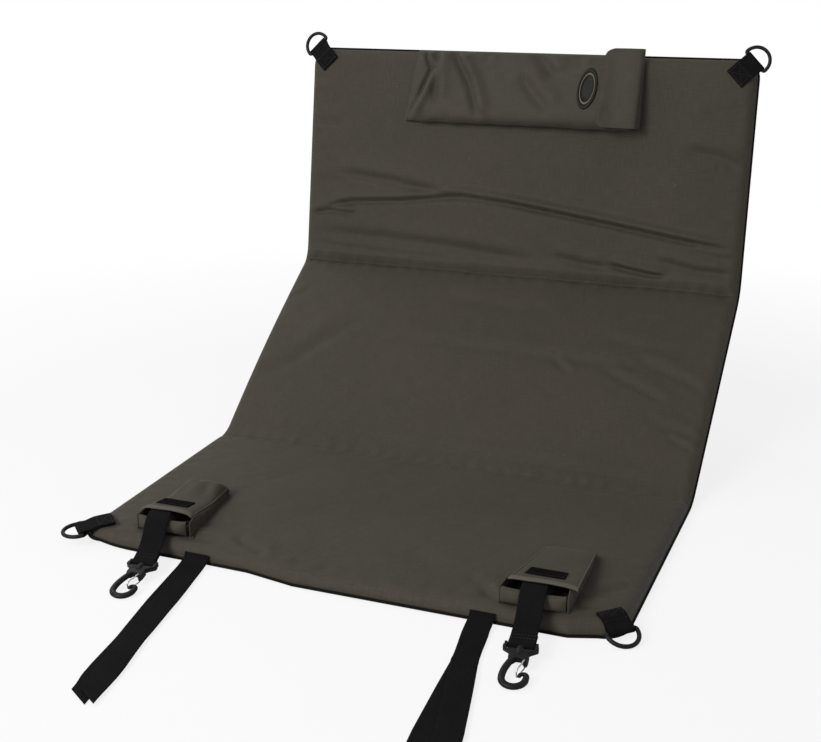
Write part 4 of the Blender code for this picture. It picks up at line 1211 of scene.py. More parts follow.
@dataclass
class PaddedCover:
    """One padded panel: its sewn cover with the foam inside, as a closed crowned form."""

    name: str
    shape: MatShape
    low: float
    high: float
    wrinkles: tuple[Wrinkle, ...]
    seed: int
    front_end: bool = False
    rear_end: bool = False
    creases: tuple[float, ...] = ()
    side_bow: float = 0.0
    roll_over: float = 0.0

    def outline(self, x: np.ndarray, u: np.ndarray) -> tuple[np.ndarray, np.ndarray, np.ndarray]:
        """Rounds the free corners and measures each point's distance from the edge.

        Args:
            x: Places across the panel.
            u: Places along it.

        Returns:
            The moved places and the distances.
        """
        r = self.shape.corner
        over = np.abs(x) - (self.shape.half - r)
        inset = self.shape.half - np.abs(x)
        new_x, new_u = x.copy(), u.copy()
        for outer, way, base in (
            (self.front_end, -1.0, self.low + r),
            (self.rear_end, 1.0, self.high - r),
        ):
            if not outer:
                continue
            beyond = way * (u - base)
            inset = np.minimum(inset, r - beyond)
            inside = (over > 0) & (beyond > 0)
            a = np.clip(over[inside] / r, 0.0, 1.0)
            b = np.clip(beyond[inside] / r, 0.0, 1.0)
            round_a = a * np.sqrt(1 - b * b / 2)
            round_b = b * np.sqrt(1 - a * a / 2)
            new_x[inside] = np.sign(x[inside]) * (self.shape.half - r + r * round_a)
            new_u[inside] = base + way * r * round_b
            inset[inside] = r * (1 - np.hypot(round_a, round_b))
        return new_x, new_u, np.clip(inset, 0.0, None)

    def crease_dip(self, away: np.ndarray) -> np.ndarray:
        """The depth of a sewn crease at a distance from its line."""
        return 0.0042 * np.exp(-((away / 0.0036) ** 2)) + 0.0026 * np.exp(-((away / 0.013) ** 2))

    def top_height(self, x: np.ndarray, u: np.ndarray, inset: np.ndarray) -> np.ndarray:
        """The top's height over the underside, with its creases, wrinkles and unevenness."""
        height = self.shape.top(inset)
        calm = eased(inset, 0.003, 0.02)
        relief = 1.3 * sum((w.height(x, u) for w in self.wrinkles), np.zeros(x.shape))
        relief = relief + 0.0006 * slow_noise(x, u, 0.16, self.seed) + 0.00022 * slow_noise(x, u, 0.035, self.seed + 1)
        ripples = np.sin(u * 2 * math.pi / 0.023 + 2.2 * slow_noise(x, u, 0.2, self.seed + 2))
        near_edge = np.exp(-(((inset - 0.012) / 0.012) ** 2)) * (np.abs(x) > self.shape.half - 0.04)
        relief = relief + 0.0005 * ripples * near_edge
        if self.front_end:
            hem = np.sin(x * 2 * math.pi / 0.031 + 1.8 * slow_noise(x, u, 0.12, self.seed + 3))
            relief = relief + 0.0005 * hem * np.exp(-(((u - self.low - 0.014) / 0.014) ** 2))
        wander = 0.8 + 0.2 * np.sin(x * 27.0) * np.sin(x * 61.0 + 1.0)
        dip = sum((self.crease_dip(u - c) for c in self.creases), np.zeros(x.shape))
        puffed = self.roll_over * np.exp(-(((u - self.low - 0.013) / 0.0085) ** 2))
        puckers = 0.0007 * np.sin(x * 2 * math.pi / 0.024 + 2.0 * slow_noise(x, u, 0.11, self.seed + 5))
        puckers = puckers * sum((np.exp(-(((u - c) / 0.012) ** 2)) for c in self.creases), np.zeros(x.shape))
        edge = eased(inset, 0.0, 0.016)
        return height + relief * calm + (puffed + puckers - dip * wander) * edge

    def build(self, finish: bpy.types.Material) -> bpy.types.Object:
        """Builds the closed cover.

        Args:
            finish: The cloth.

        Returns:
            The cover, not yet riding on anything.
        """
        shape = self.shape
        across = shape.spacing(-shape.half, shape.half, True, True, ())
        along = shape.spacing(self.low, self.high, self.front_end, self.rear_end, self.creases)
        mesh = new_grid(len(across) - 1, len(along) - 1)
        made = bmesh.ops.extrude_face_region(mesh, geom=list(mesh.faces), use_keep_orig=True)["geom"]
        upper = [item for item in made if isinstance(item, bmesh.types.BMVert)]
        bmesh.ops.translate(mesh, verts=upper, vec=(0.0, 0.0, 1.0))
        risers = [e for e in mesh.edges if abs(e.verts[0].co.z - e.verts[1].co.z) > 0.5]
        bmesh.ops.subdivide_edges(mesh, edges=risers, cuts=3, use_grid_fill=True)
        i, j, level = cells(mesh)
        flat_x, flat_u = across[i], along[j]
        x, u, inset = self.outline(flat_x, flat_u)
        top = self.top_height(x, u, inset)
        height = level * top
        if not self.front_end:
            dents = 0.0011 * (1 + slow_noise(x, u, 0.15, self.seed + 7)) + 0.0002 * slow_noise(x, u, 0.03, self.seed + 8)
            height = height + (1 - level) * dents * eased(inset, 0.004, 0.03)
        swell = np.sin(level * math.pi) * 0.0012
        rim = (level > 0.01) & (level < 0.99)
        x = np.where(rim & (inset < 1e-4), x + np.sign(x) * swell * (np.abs(flat_x) > shape.half - 1e-4), x)
        side = self.side_bow * np.sin(np.clip((u - self.low) / (self.high - self.low), 0, 1) * math.pi)
        x = x + np.where(x < 0, -side * eased(-x, 0.2, 0.3259), 0.0)
        if self.front_end:
            u = u - shape.bow(x, u)
            height = height + (1 - level) * shape.drawn_up(x, u)
        y, z = shape.path.lay(u, height - shape.depth)
        write_map(mesh, flat_x + level * 0.02, flat_u)
        lay(mesh, np.stack([x, y, z], axis=1))
        bmesh.ops.recalc_face_normals(mesh, faces=mesh.faces)
        return Piece(self.name, finish, "cover").make(mesh, None)


@dataclass
class Mat:
    """The three padded panels and the binding round them."""

    finishes: Finishes
    shape: MatShape = MatShape()
    front_crease: float = -0.012
    rear_crease: float = 0.322
    piping_radius: float = 0.0014
    piping_height: float = 0.003

    FRONT_WRINKLES = (
        Wrinkle(((-0.262, -0.320), (-0.215, -0.318), (-0.165, -0.322), (-0.110, -0.336)), 0.0030, 0.0065),
        Wrinkle(((-0.145, -0.300), (-0.120, -0.318), (-0.085, -0.332)), 0.0016, 0.0070),
        Wrinkle(((-0.302, -0.312), (-0.280, -0.322), (-0.262, -0.330)), 0.0018, 0.0045),
        Wrinkle(((0.165, -0.318), (0.195, -0.326), (0.222, -0.334)), 0.0028, 0.0050),
        Wrinkle(((0.140, -0.296), (0.172, -0.312), (0.192, -0.330)), 0.0014, 0.0060),
        Wrinkle(((0.268, -0.322), (0.292, -0.316), (0.312, -0.318)), 0.0018, 0.0045),
        Wrinkle(((0.264, -0.334), (0.284, -0.330)), 0.0012, 0.0035),
        Wrinkle(((0.285, -0.285), (0.318, -0.255)), 0.0016, 0.0060),
        Wrinkle(((0.060, -0.262), (0.115, -0.300)), 0.0010, 0.0120),
        Wrinkle(((-0.310, -0.055), (-0.225, -0.060), (-0.12, -0.050)), 0.0008, 0.0080),
        Wrinkle(((-0.06, -0.034), (0.10, -0.030), (0.30, -0.034)), 0.0009, 0.0070),
    )
    MIDDLE_WRINKLES = (
        Wrinkle(((-0.324, 0.089), (-0.270, 0.125), (-0.228, 0.178), (-0.180, 0.222)), 0.0020, 0.011, 0.5),
        Wrinkle(((-0.21, 0.190), (0.05, 0.186), (0.322, 0.180)), 0.0013, 0.008),
        Wrinkle(((0.100, 0.186), (0.137, 0.156)), 0.0013, 0.005),
        Wrinkle(((0.170, 0.176), (0.272, 0.130)), 0.0018, 0.006),
        Wrinkle(((0.200, 0.205), (0.322, 0.155)), 0.0016, 0.007),
        Wrinkle(((-0.10, 0.272), (0.03, 0.262), (0.10, 0.268)), 0.0010, 0.010),
        Wrinkle(((-0.324, 0.016), (-0.15, 0.012), (0.10, 0.014), (0.322, 0.008)), 0.0016, 0.006),
        Wrinkle(((-0.30, 0.045), (-0.10, 0.036), (0.10, 0.044)), 0.0010, 0.009),
        Wrinkle(((0.280, 0.078), (0.324, 0.062)), 0.0016, 0.004),
        Wrinkle(((-0.324, 0.240), (-0.285, 0.262)), 0.0012, 0.005),
        Wrinkle(((0.245, 0.100), (0.324, 0.084)), 0.0012, 0.006),
        Wrinkle(((0.150, 0.230), (0.230, 0.214), (0.300, 0.222)), 0.0010, 0.008),
    )
    REAR_WRINKLES = (
        Wrinkle(
            (
                (-0.332, 0.3915),
                (-0.250, 0.4115),
                (-0.169, 0.4175),
                (-0.078, 0.4295),
                (0.004, 0.4225),
                (0.070, 0.4130),
            ),
            0.0044,
            0.0038,
            0.9,
        ),
        Wrinkle(((-0.030, 0.4270), (0.060, 0.4150), (0.150, 0.4030), (0.240, 0.3900), (0.332, 0.3790)), 0.0064, 0.0037, 0.95),
        Wrinkle(((-0.322, 0.3900), (-0.285, 0.3960), (-0.240, 0.3925)), 0.0040, 0.0032),
        Wrinkle(((-0.290, 0.4560), (-0.190, 0.4460), (-0.060, 0.4240)), 0.0030, 0.0060),
        Wrinkle(((-0.325, 0.3640), (-0.200, 0.3620), (-0.080, 0.3560), (0.060, 0.3430)), 0.0022, 0.0070),
        Wrinkle(((-0.322, 0.3450), (-0.200, 0.3400), (-0.060, 0.3380)), 0.0012, 0.0045),
        Wrinkle(((0.140, 0.3500), (0.172, 0.3440), (0.205, 0.3395), (0.235, 0.3380)), 0.0046, 0.0036),
        Wrinkle(((0.060, 0.3560), (0.110, 0.3470), (0.150, 0.3440)), 0.0022, 0.0050),
        Wrinkle(((0.205, 0.3620), (0.265, 0.3500), (0.322, 0.3480)), 0.0026, 0.0050),
        Wrinkle(((0.235, 0.5140), (0.290, 0.5050), (0.328, 0.4860)), 0.0024, 0.0065),
        Wrinkle(((-0.322, 0.5300), (-0.260, 0.5220)), 0.0009, 0.0070),
        Wrinkle(((0.255, 0.3790), (0.290, 0.3710), (0.325, 0.3660)), 0.0018, 0.0050),
        Wrinkle(((-0.326, 0.4450), (-0.250, 0.4390)), 0.0009, 0.0060),
    )

    def covers(self) -> list[PaddedCover]:
        """The three covers, front to rear."""
        shape = self.shape
        low, high = self.front_crease, self.rear_crease
        return [
            PaddedCover(
                "front_padding", shape, shape.front_low, low, self.FRONT_WRINKLES, 11, True, False, (low,)
            ),
            PaddedCover(
                "middle_padding", shape, low, high, self.MIDDLE_WRINKLES, 23, creases=(low, high), side_bow=0.0035
            ),
            PaddedCover(
                "rear_padding",
                shape,
                high,
                shape.rear_high,
                self.REAR_WRINKLES,
                37,
                rear_end=True,
                creases=(high,),
                roll_over=0.0040,
            ),
        ]

    def join(self, piece: bpy.types.Object, which: str) -> None:
        """Lets a front piece ride on the front panel; a middle or rear piece stays fixed where it is made."""
        path = self.shape.path
        if which == "front":
            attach(piece, "front_panel")
        elif which == "middle":
            path.point(0, -0.012, -0.011)
            path.point(0, 0.0088, -0.011)
            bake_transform(piece)
        else:
            path.point(0, 0.3185, -0.011)
            path.point(0, 0.338, -0.011)
            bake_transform(piece)

    def build(self) -> None:
        """Builds the covers and the binding."""
        cad = {
            "front": ["front_top_cover", "front_foam_core", "front_base_cover", "front_fold_web"],
            "middle": [
                "middle_top_cover",
                "middle_foam_core",
                "middle_base_cover",
                "middle_fold_web_front",
                "middle_fold_web_rear",
            ],
            "rear": ["rear_top_cover", "rear_foam_core", "rear_base_cover", "rear_fold_web"],
        }
        for cover, (which, nodes) in zip(self.covers(), cad.items()):
            piece = cover.build(self.finishes.cover)
            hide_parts(*nodes)
            self.join(piece, which)
        self.bind()

    def edge(self, points: Sequence[tuple[float, float]]) -> tuple[np.ndarray, np.ndarray]:
        """Lays a line of the binding and gives the way that the mat faces along it."""
        flat = np.array(points, float)
        u = flat[:, 1] - self.shape.bow(flat[:, 0], flat[:, 1])
        y, z = self.shape.path.lay(u, self.piping_height - self.shape.depth + self.shape.drawn_up(flat[:, 0], u))
        ups = np.array([self.shape.path.normal(v)[:] for v in u])
        return np.stack([flat[:, 0], y, z], axis=1), ups

    def end_run(self, crease: float, end: float) -> list[tuple[float, float]]:
        """The binding's line from a crease round one end of the mat and back."""
        half = self.shape.half + self.piping_radius * 0.9
        way = 1.0 if end > crease else -1.0
        corner = self.shape.corner
        edge = end + way * self.piping_radius * 0.9
        side = [(-half, u) for u in np.arange(crease, end - way * corner, way * 0.004)]
        turns = np.linspace(math.pi, RIGHT_ANGLE, 9)
        left = [(-half + corner + corner * math.cos(t), edge - way * corner + way * corner * math.sin(t)) for t in turns]
        across = [(x, edge) for x in np.arange(-half + corner + 0.004, half - corner - 0.003, 0.004)]
        right = [(-x, u) for x, u in reversed(left)]
        return side + left + across + right + [(-x, u) for x, u in reversed(side)]

    def bind(self) -> None:
        """Sews the binding round the three panels."""
        runs = {
            "front_binding": ("front", self.end_run(self.front_crease, self.shape.front_low), ["front_piping"]),
            "rear_binding": ("rear", self.end_run(self.rear_crease, self.shape.rear_high), ["rear_piping"]),
        }
        length = self.rear_crease - self.front_crease
        for side in Side:
            bow = 0.0035 if side is Side.LEFT else 0.0
            places = np.linspace(self.front_crease, self.rear_crease + 0.0008, 86)
            line = [
                (
                    side.sign
                    * (self.shape.half + 0.9 * self.piping_radius + bow * math.sin((u - self.front_crease) / length * math.pi)),
                    u,
                )
                for u in places
            ]
            runs[f"middle_binding_{side.value}"] = ("middle", line, [f"middle_piping_{side.value}"])
        for name, (which, line, nodes) in runs.items():
            path, ups = self.edge(line)
            halves = [(self.piping_radius, self.piping_radius)] * len(path)
            mesh = sweep(frames_along(path, ups), halves, 10)
            piece = Piece(name, self.finishes.piping, "webbing").make(mesh, None)
            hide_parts(*nodes)
            self.join(piece, which)


# ---------------------------------------------------------------- straps, rings and clips


@dataclass(frozen=True)
class CornerRing:
    """A folded webbing tab on one corner, and the ring whose bar lies in its fold."""

    end: End
    side: Side
    corner: Matrix
    ring: Matrix
    start: float
    reach: float
    loop_height: float
    width: float = 0.0295
    webbing: float = 0.0015
    ring_radius: float = 0.0024
    clearance: float = 0.0003
    shoulder: float = 0.0025

    @property
    def name(self) -> str:
        """The corner's name."""
        return f"{self.end.value}_{self.side.value}"

    def middle_line(self, shape: MatShape) -> np.ndarray:
        """The tab's middle line in the corner's frame, from its sewn end to the ring's bar."""
        lift = self.clearance + self.webbing
        radius = shape.roll + lift
        roll = (shape.corner - shape.roll, shape.wall_top)
        away = (self.reach - roll[0], self.loop_height - roll[1])
        leave = math.atan2(away[1], away[0]) + math.acos(radius / math.hypot(*away))
        flat = np.arange(self.start, roll[0] - 0.001, 0.004)
        insets = shape.corner - flat
        line = [(y, float(h) + lift) for y, h in zip(flat, shape.top(insets))]
        for turn in np.linspace(RIGHT_ANGLE, min(leave, RIGHT_ANGLE), 4):
            line.append((roll[0] + radius * math.cos(turn), roll[1] + radius * math.sin(turn)))
        line.append((self.reach, self.loop_height))
        return curve_through(line, 0.0012)

    def band(self, shape: MatShape) -> np.ndarray:
        """The webbing's whole path: over the corner, round the bar and back beneath itself."""
        line = self.middle_line(shape)
        ahead = np.gradient(line, axis=0)
        ahead /= np.linalg.norm(ahead, axis=1)[:, None]
        normal = np.stack([-ahead[:, 1], ahead[:, 0]], axis=1)
        bar = self.ring_radius + self.clearance + self.webbing / 2
        left = np.linalg.norm(line - line[-1], axis=1)
        apart = self.webbing / 2 + 0.00003 + (bar - self.webbing / 2) * (1 - eased(left, 0.0, 0.011))
        upper = line + normal * apart[:, None]
        lower = line - normal * apart[:, None]
        start = math.atan2(normal[-1, 1], normal[-1, 0])
        turns = start - np.linspace(0.0, math.pi, 13)
        around = line[-1] + bar * np.stack([np.cos(turns), np.sin(turns)], axis=1)
        return np.concatenate([upper[:-1], around, lower[-2::-1]])

    def build(self, finishes: Finishes, shape: MatShape) -> None:
        """Builds the tab, its stitches and its ring."""
        body = f"{self.end.value}_panel"
        flat = self.band(shape)
        path = np.column_stack([np.zeros(len(flat)), flat])
        halves = np.tile([self.width / 2, 0.0, 0.0], (len(path), 1))
        Strap(finishes.webbing).weave(
            f"corner_tab_{self.name}", path, halves, body, [f"tab_{self.name}"], self.corner
        )
        self.stitch(finishes, shape, body)
        self.build_ring(finishes)

    def stitch(self, finishes: Finishes, shape: MatShape, body: str) -> None:
        """Sews a square with a cross on the tab."""
        line = self.middle_line(shape)
        run = np.concatenate([[0.0], np.cumsum(np.linalg.norm(np.diff(line, axis=0), axis=1))])
        lift = self.webbing + 0.00005
        half = self.width / 2 - 0.003

        def spot(across: float, along: float) -> Vector:
            """A place on the tab's top."""
            y = float(np.interp(along, run, line[:, 0]))
            z = float(np.interp(along, run, line[:, 1]))
            return self.corner @ Vector((across, y, z + lift))

        low, high = 0.0025, min(0.0185, run[-1] - 0.012)
        rows = {
            "inner": [(-half, low), (0.0, low), (half, low)],
            "outer": [(-half, high), (0.0, high), (half, high)],
            "left": [(-half, low), (-half, (low + high) / 2), (-half, high)],
            "right": [(half, low), (half, (low + high) / 2), (half, high)],
            "cross_a": [(-half, low), (0.0, (low + high) / 2), (half, high)],
            "cross_b": [(-half, high), (0.0, (low + high) / 2), (half, low)],
        }
        up = self.corner.to_3x3() @ Vector((0.0, 0.15, 1.0))
        for label, spots in rows.items():
            path = [spot(*place)[:] for place in spots]
            Stitching(finishes.black_thread).sew(f"tab_stitches_{self.name}_{label}", path, up, body)

    def build_ring(self, finishes: Finishes) -> None:
        """Builds the D-ring."""
        bend = self.width / 2 + 0.0005 + self.ring_radius
        c = self.shoulder
        flat = [(x, 0.0) for x in np.linspace(-(bend - c), bend - c, 12)]
        for turn in np.linspace(-RIGHT_ANGLE, 0.0, 6)[1:]:
            flat.append((bend - c + c * math.cos(turn), c + c * math.sin(turn)))
        for turn in np.linspace(0.0, math.pi, 33)[1:]:
            flat.append((bend * math.cos(turn), c + bend * math.sin(turn)))
        for turn in np.linspace(math.pi, 3 * RIGHT_ANGLE, 6)[1:-1]:
            flat.append((-(bend - c) + c * math.cos(turn), c + c * math.sin(turn)))
        path = np.array([(x, y, 0.0) for x, y in flat])
        halves = [(self.ring_radius, self.ring_radius)] * len(path)
        mesh = sweep(frames_along(path, (0, 0, 1), closed=True), halves, 14, closed=True)
        name = f"d_ring_{self.name}"
        Piece(f"corner_ring_{self.name}", finishes.plastic, "plastic").make(
            mesh, f"{name}_body", [name], place=self.ring
        )


@dataclass(frozen=True)
class TieStrap:
    """A closing strap folded double, its two plies fanned apart."""

    side: Side
    frame: Matrix
    yaw: float
    end_skew: float
    splay: tuple[tuple[float, float], ...]
    length: float = 0.290
    width: float = 0.028
    webbing: float = 0.0015
    roll: float = 0.014
    wall_top: float = 0.005

    def middle_line(self) -> tuple[np.ndarray, np.ndarray, np.ndarray]:
        """The strap's middle line, its direction across and its share of the length."""
        lift = 0.0003 + self.webbing
        radius = self.roll + lift
        start = (self.roll - radius * math.cos(math.radians(27)), self.wall_top + radius * math.sin(math.radians(27)))
        bend = (self.roll - radius * math.cos(math.radians(12)), self.wall_top + radius * math.sin(math.radians(12)))
        slope = math.atan2(self.frame[1][0], self.frame[0][0])
        yaw = self.yaw - slope
        ahead = np.array([math.sin(yaw), -math.cos(yaw), 0.0])
        points = [
            np.array([0.0, y - start[0], z - start[1]])
            for y, z in (start, bend, (-0.0066, 0.0050), (-0.016, lift))
        ]
        landing = points[-1]
        points += [landing + ahead * reach for reach in np.linspace(0.01, self.length - 0.016, 24)]
        line = curve_through(points, 0.003)
        run = np.concatenate([[0.0], np.cumsum(np.linalg.norm(np.diff(line, axis=0), axis=1))])
        share = np.clip((run - 0.022) / (self.length - 0.022), 0.0, 1.0)
        turn = yaw * eased(run, 0.004, 0.03)
        across = np.stack([np.cos(turn), np.sin(turn), np.zeros(len(line))], axis=1)
        return line, across, share

    def build(self, finishes: Finishes) -> None:
        """Builds the two plies."""
        line, across, share = self.middle_line()
        half = self.width / 2
        total = half * table(self.splay, share)
        name = f"tie_strap_{self.side.value}"
        ahead = np.gradient(line, axis=0)
        ahead /= np.linalg.norm(ahead, axis=1)[:, None]
        normal = np.cross(across, -ahead)
        normal *= np.sign(normal[:, 2])[:, None]
        for ply, way in (("upper", 1.0), ("lower", -1.0)):
            offset = way * np.clip(total - half, 0.0, None)
            ripple = 0.0003 * (1 + np.sin(share * 19.0 + way)) * eased(share, 0.05, 0.2) if way > 0 else 0.0
            path = line + across * offset[:, None] + normal * (way * (self.webbing / 2 + 0.00004) + ripple)[:, None] if way > 0 else (
                line + across * offset[:, None] - normal * (self.webbing / 2 + 0.00004)
            )
            halves = across * np.minimum(total, half)[:, None]
            halves += (eased(share, 0.86, 1.0) * self.end_skew * 0.8)[:, None] * np.array([[0.0, -1.0, 0.0]])
            nodes = [name] if ply == "upper" else []
            Strap(finishes.webbing).weave(
                f"closing_strap_{self.side.value}_{ply}", path, halves, f"{name}_body", nodes, self.frame
            )


@dataclass(frozen=True)
class SwivelClip:
    """A swivel snap hook: a strap frame, a hook that turns in it and a sprung wire gate."""

    side: Side
    frame: Matrix
    webbing: float = 0.027
    bar_radius: float = 0.0022
    ear: float = 0.0035
    ear_length: float = 0.0065
    thickness: float = 0.006
    yoke_start: float = 0.0075
    yoke_end: float = 0.0130
    yoke_width: float = 0.022
    barrel_radius: float = 0.0052
    neck_length: float = 0.0090
    neck_half: float = 0.0103
    neck_thickness: float = 0.0072
    boss_reach: float = 0.0155
    boss_half: float = 0.0026
    shank_half: float = 0.0036
    hook_half: float = 0.003
    bend_radius: float = 0.0118
    bend_reach: float = 0.0495
    curl_radius: float = 0.0034
    curl_rise: float = 0.0040
    curl_half: float = 0.0021
    curl_turn: float = math.radians(205)
    gate_radius: float = 0.0007
    gate_x: float = 0.0076
    gate_reach: float = 0.0255

    def plate(self, outline: Sequence[tuple[float, float]], thickness: float, rounding: float) -> bmesh.types.BMesh:
        """A moulded plate from its outline, all its edges rounded."""
        mesh = bmesh.new()
        face = mesh.faces.new([mesh.verts.new((x, y, -thickness / 2)) for x, y in outline])
        made = bmesh.ops.extrude_face_region(mesh, geom=[face])["geom"]
        upper = [item for item in made if isinstance(item, bmesh.types.BMVert)]
        bmesh.ops.translate(mesh, verts=upper, vec=(0.0, 0.0, thickness))
        bmesh.ops.recalc_face_normals(mesh, faces=mesh.faces)
        bmesh.ops.bevel(
            mesh,
            geom=list(mesh.edges),
            offset=rounding,
            segments=3,
            profile=0.5,
            affect="EDGES",
            material=-1,
            clamp_overlap=True,
        )
        return mesh

    def turned(self, places: Sequence[tuple[float, float]], sides: int = 20) -> bmesh.types.BMesh:
        """A round part along Y from its reach and radius at each ring."""
        path = np.array([(0.0, y, 0.0) for y, _ in places])
        return sweep(frames_along(path, (0, 0, 1)), [(r, r) for _, r in places], sides)

    def build_frame(self, finishes: Finishes) -> None:
        """Builds the strap frame with its bar and the swivel's barrel."""
        inner = self.webbing / 2 + 0.0006
        outer = inner + self.ear
        top = self.bar_radius + 0.0004
        half = [
            (inner, top),
            (outer - 0.0006, top),
            (outer - 0.0006, -0.0015),
            (outer + 0.0003, -0.0022),
            (outer + 0.0003, -self.ear_length),
            (self.yoke_width / 2 + 0.0006, -self.yoke_end + 0.0022),
            (self.yoke_width / 2 - 0.0015, -self.yoke_end),
        ]
        outline = half + [(-x, y) for x, y in reversed(half)] + [(-inner, -self.yoke_start), (inner, -self.yoke_start)]
        bar_path = np.array([(x, 0.0, 0.0) for x in np.linspace(-inner - 0.001, inner + 0.001, 5)])
        bar = sweep(frames_along(bar_path, (0, 0, 1)), [(self.bar_radius, self.bar_radius)] * 5, 16)
        r = self.barrel_radius
        barrel = self.turned(
            [
                (-self.yoke_start + 0.0003, r - 0.0008),
                (-self.yoke_start - 0.0004, r - 0.0002),
                (-self.yoke_start - 0.0012, r),
                (-self.yoke_end + 0.0012, r),
                (-self.yoke_end + 0.0004, r - 0.0003),
                (-self.yoke_end - 0.0001, r - 0.0010),
            ]
        )
        mesh = merged([self.plate(outline, self.thickness, 0.0007), bar, barrel])
        node = f"clip_base_{self.side.value}"
        Piece(f"swivel_frame_{self.side.value}", finishes.plastic, "plastic").make(
            mesh, f"{node}_body", [node], place=self.frame
        )

    def hook_line(self) -> tuple[np.ndarray, np.ndarray]:
        """The hook's middle line, with its half width and half thickness at each point."""
        points = [
            (-self.neck_half * 0.45, -(self.yoke_end + self.neck_length * 0.6)),
            (-self.neck_half * 0.72, -(self.yoke_end + self.neck_length * 1.35)),
            (-self.bend_radius * 0.94, -(self.bend_reach - self.bend_radius)),
        ]
        for turn in np.linspace(math.pi, 2 * math.pi, 13):
            points.append((self.bend_radius * math.cos(turn), -self.bend_reach + self.bend_radius * math.sin(turn)))
        bend_end = len(points)
        centre = (self.bend_radius - self.curl_radius, self.curl_rise - self.bend_reach)
        for turn in np.linspace(0.0, self.curl_turn, 10):
            points.append(
                (centre[0] + self.curl_radius * math.cos(turn), centre[1] + self.curl_radius * math.sin(turn))
            )
        stacked = []
        for k, (x, y) in enumerate(points):
            share = min(max((k - bend_end + 2) / 6, 0.0), 1.0)
            wide = self.shank_half + (self.curl_half - self.shank_half) * share
            tall = self.hook_half + (self.curl_half - self.hook_half) * share
            stacked.append((x, y, wide * 0.01, tall * 0.01))
        line = curve_through(stacked, 0.0011)
        return line[:, :2], line[:, 2:] * 100

    def build_hook(self, finishes: Finishes) -> None:
        """Builds the hook with its neck, boss and swivel stem."""
        line, halves = self.hook_line()
        path = np.column_stack([line, np.zeros(len(line))])
        tips = np.clip(np.arange(len(path))[::-1] * 0.0011 / 0.0016, 0.0, 1.0)
        tips = np.sqrt(1 - (1 - tips) ** 2) * 0.85 + 0.15
        sizes = [(w * t, h * t) for (w, h), t in zip(halves, tips)]
        hook = sweep(frames_along(path, (0, 0, 1)), sizes, 20)
        n = self.neck_half
        top = -(self.yoke_end + 0.0005)
        throat = -(self.yoke_end + self.neck_length)
        tip = -(self.yoke_end + self.boss_reach)
        shelf = (throat + tip) / 2
        outline = [
            (-n + 0.002, top),
            (-n, top - 0.002),
            (-n * 0.98, throat),
            (-n * 0.86, shelf),
            (-n * 0.42, shelf),
            (-n * 0.22, throat),
            (n * 0.22, throat),
            (self.gate_x - self.boss_half, shelf),
            (self.gate_x - self.boss_half * 0.3, tip),
            (self.gate_x + self.boss_half * 0.7, tip),
            (self.gate_x + self.boss_half, shelf),
            (n, throat),
            (n, top - 0.002),
            (n - 0.002, top),
        ]
        neck = self.plate(outline, self.neck_thickness, 0.0009)
        stem = self.turned(
            [
                (-0.0036, 0.0030),
                (-0.0038, 0.0039),
                (-0.0043, 0.0042),
                (-0.0051, 0.0042),
                (-0.0056, 0.0038),
                (-0.0058, 0.0029),
                (top + 0.0005, 0.0029),
                (top - 0.001, 0.0034),
                (top - 0.004, 0.0034),
            ]
        )
        collar = self.turned([(top + 0.0001, 0.0046), (top - 0.0003, 0.0049), (top - 0.0012, 0.0049), (top - 0.002, 0.0044)])
        name = f"snap_hook_{self.side.value}"
        Piece(f"hook_{self.side.value}", finishes.plastic, "plastic").make(
            merged([hook, neck, stem, collar]), f"{name}_body", [name], place=self.frame
        )

    def build_gate(self, finishes: Finishes) -> None:
        """Builds the bent wire gate."""
        out = self.neck_thickness / 2 + 0.0003 + self.gate_radius
        left = self.bend_radius - 2 * self.curl_radius - self.curl_half
        nose_x = left - 0.0003 - self.gate_radius
        nose_y = self.curl_rise - self.bend_reach + self.curl_radius * 0.5
        shoulder_y = nose_y + 0.0022
        share = (shoulder_y + self.gate_reach) / (nose_y + self.gate_reach)
        shoulder_x = self.gate_x + (nose_x - self.gate_x) * share
        pivot = (self.gate_x, -self.gate_reach)
        upper = [
            (*pivot, self.neck_thickness / 2 - 0.0022),
            (*pivot, out - 0.0008),
            (pivot[0] - 0.0003, pivot[1] - 0.0008, out),
            ((pivot[0] + shoulder_x) / 2, (pivot[1] + shoulder_y) / 2, out + 0.0001),
            (shoulder_x, shoulder_y, out),
            (nose_x, nose_y, out - 0.0022),
            (nose_x, nose_y, 0.0008),
        ]
        points = upper + [(x, y, -z) for x, y, z in reversed(upper)]
        path = curve_through(points, 0.0006)
        frames = frames_along(path, (0.9397, 0.3420, 0.05))
        mesh = sweep(frames, [(self.gate_radius, self.gate_radius)] * len(path), 10)
        name = f"wire_gate_{self.side.value}"
        Piece(f"gate_wire_{self.side.value}", finishes.wire, "wire").make(
            mesh, f"{name}_body", [name], place=self.frame
        )

    def build(self, finishes: Finishes) -> None:
        """Builds the whole clip."""
        self.build_frame(finishes)
        self.build_hook(finishes)
        self.build_gate(finishes)


# ---------------------------------------------------------------- pouches and pocket


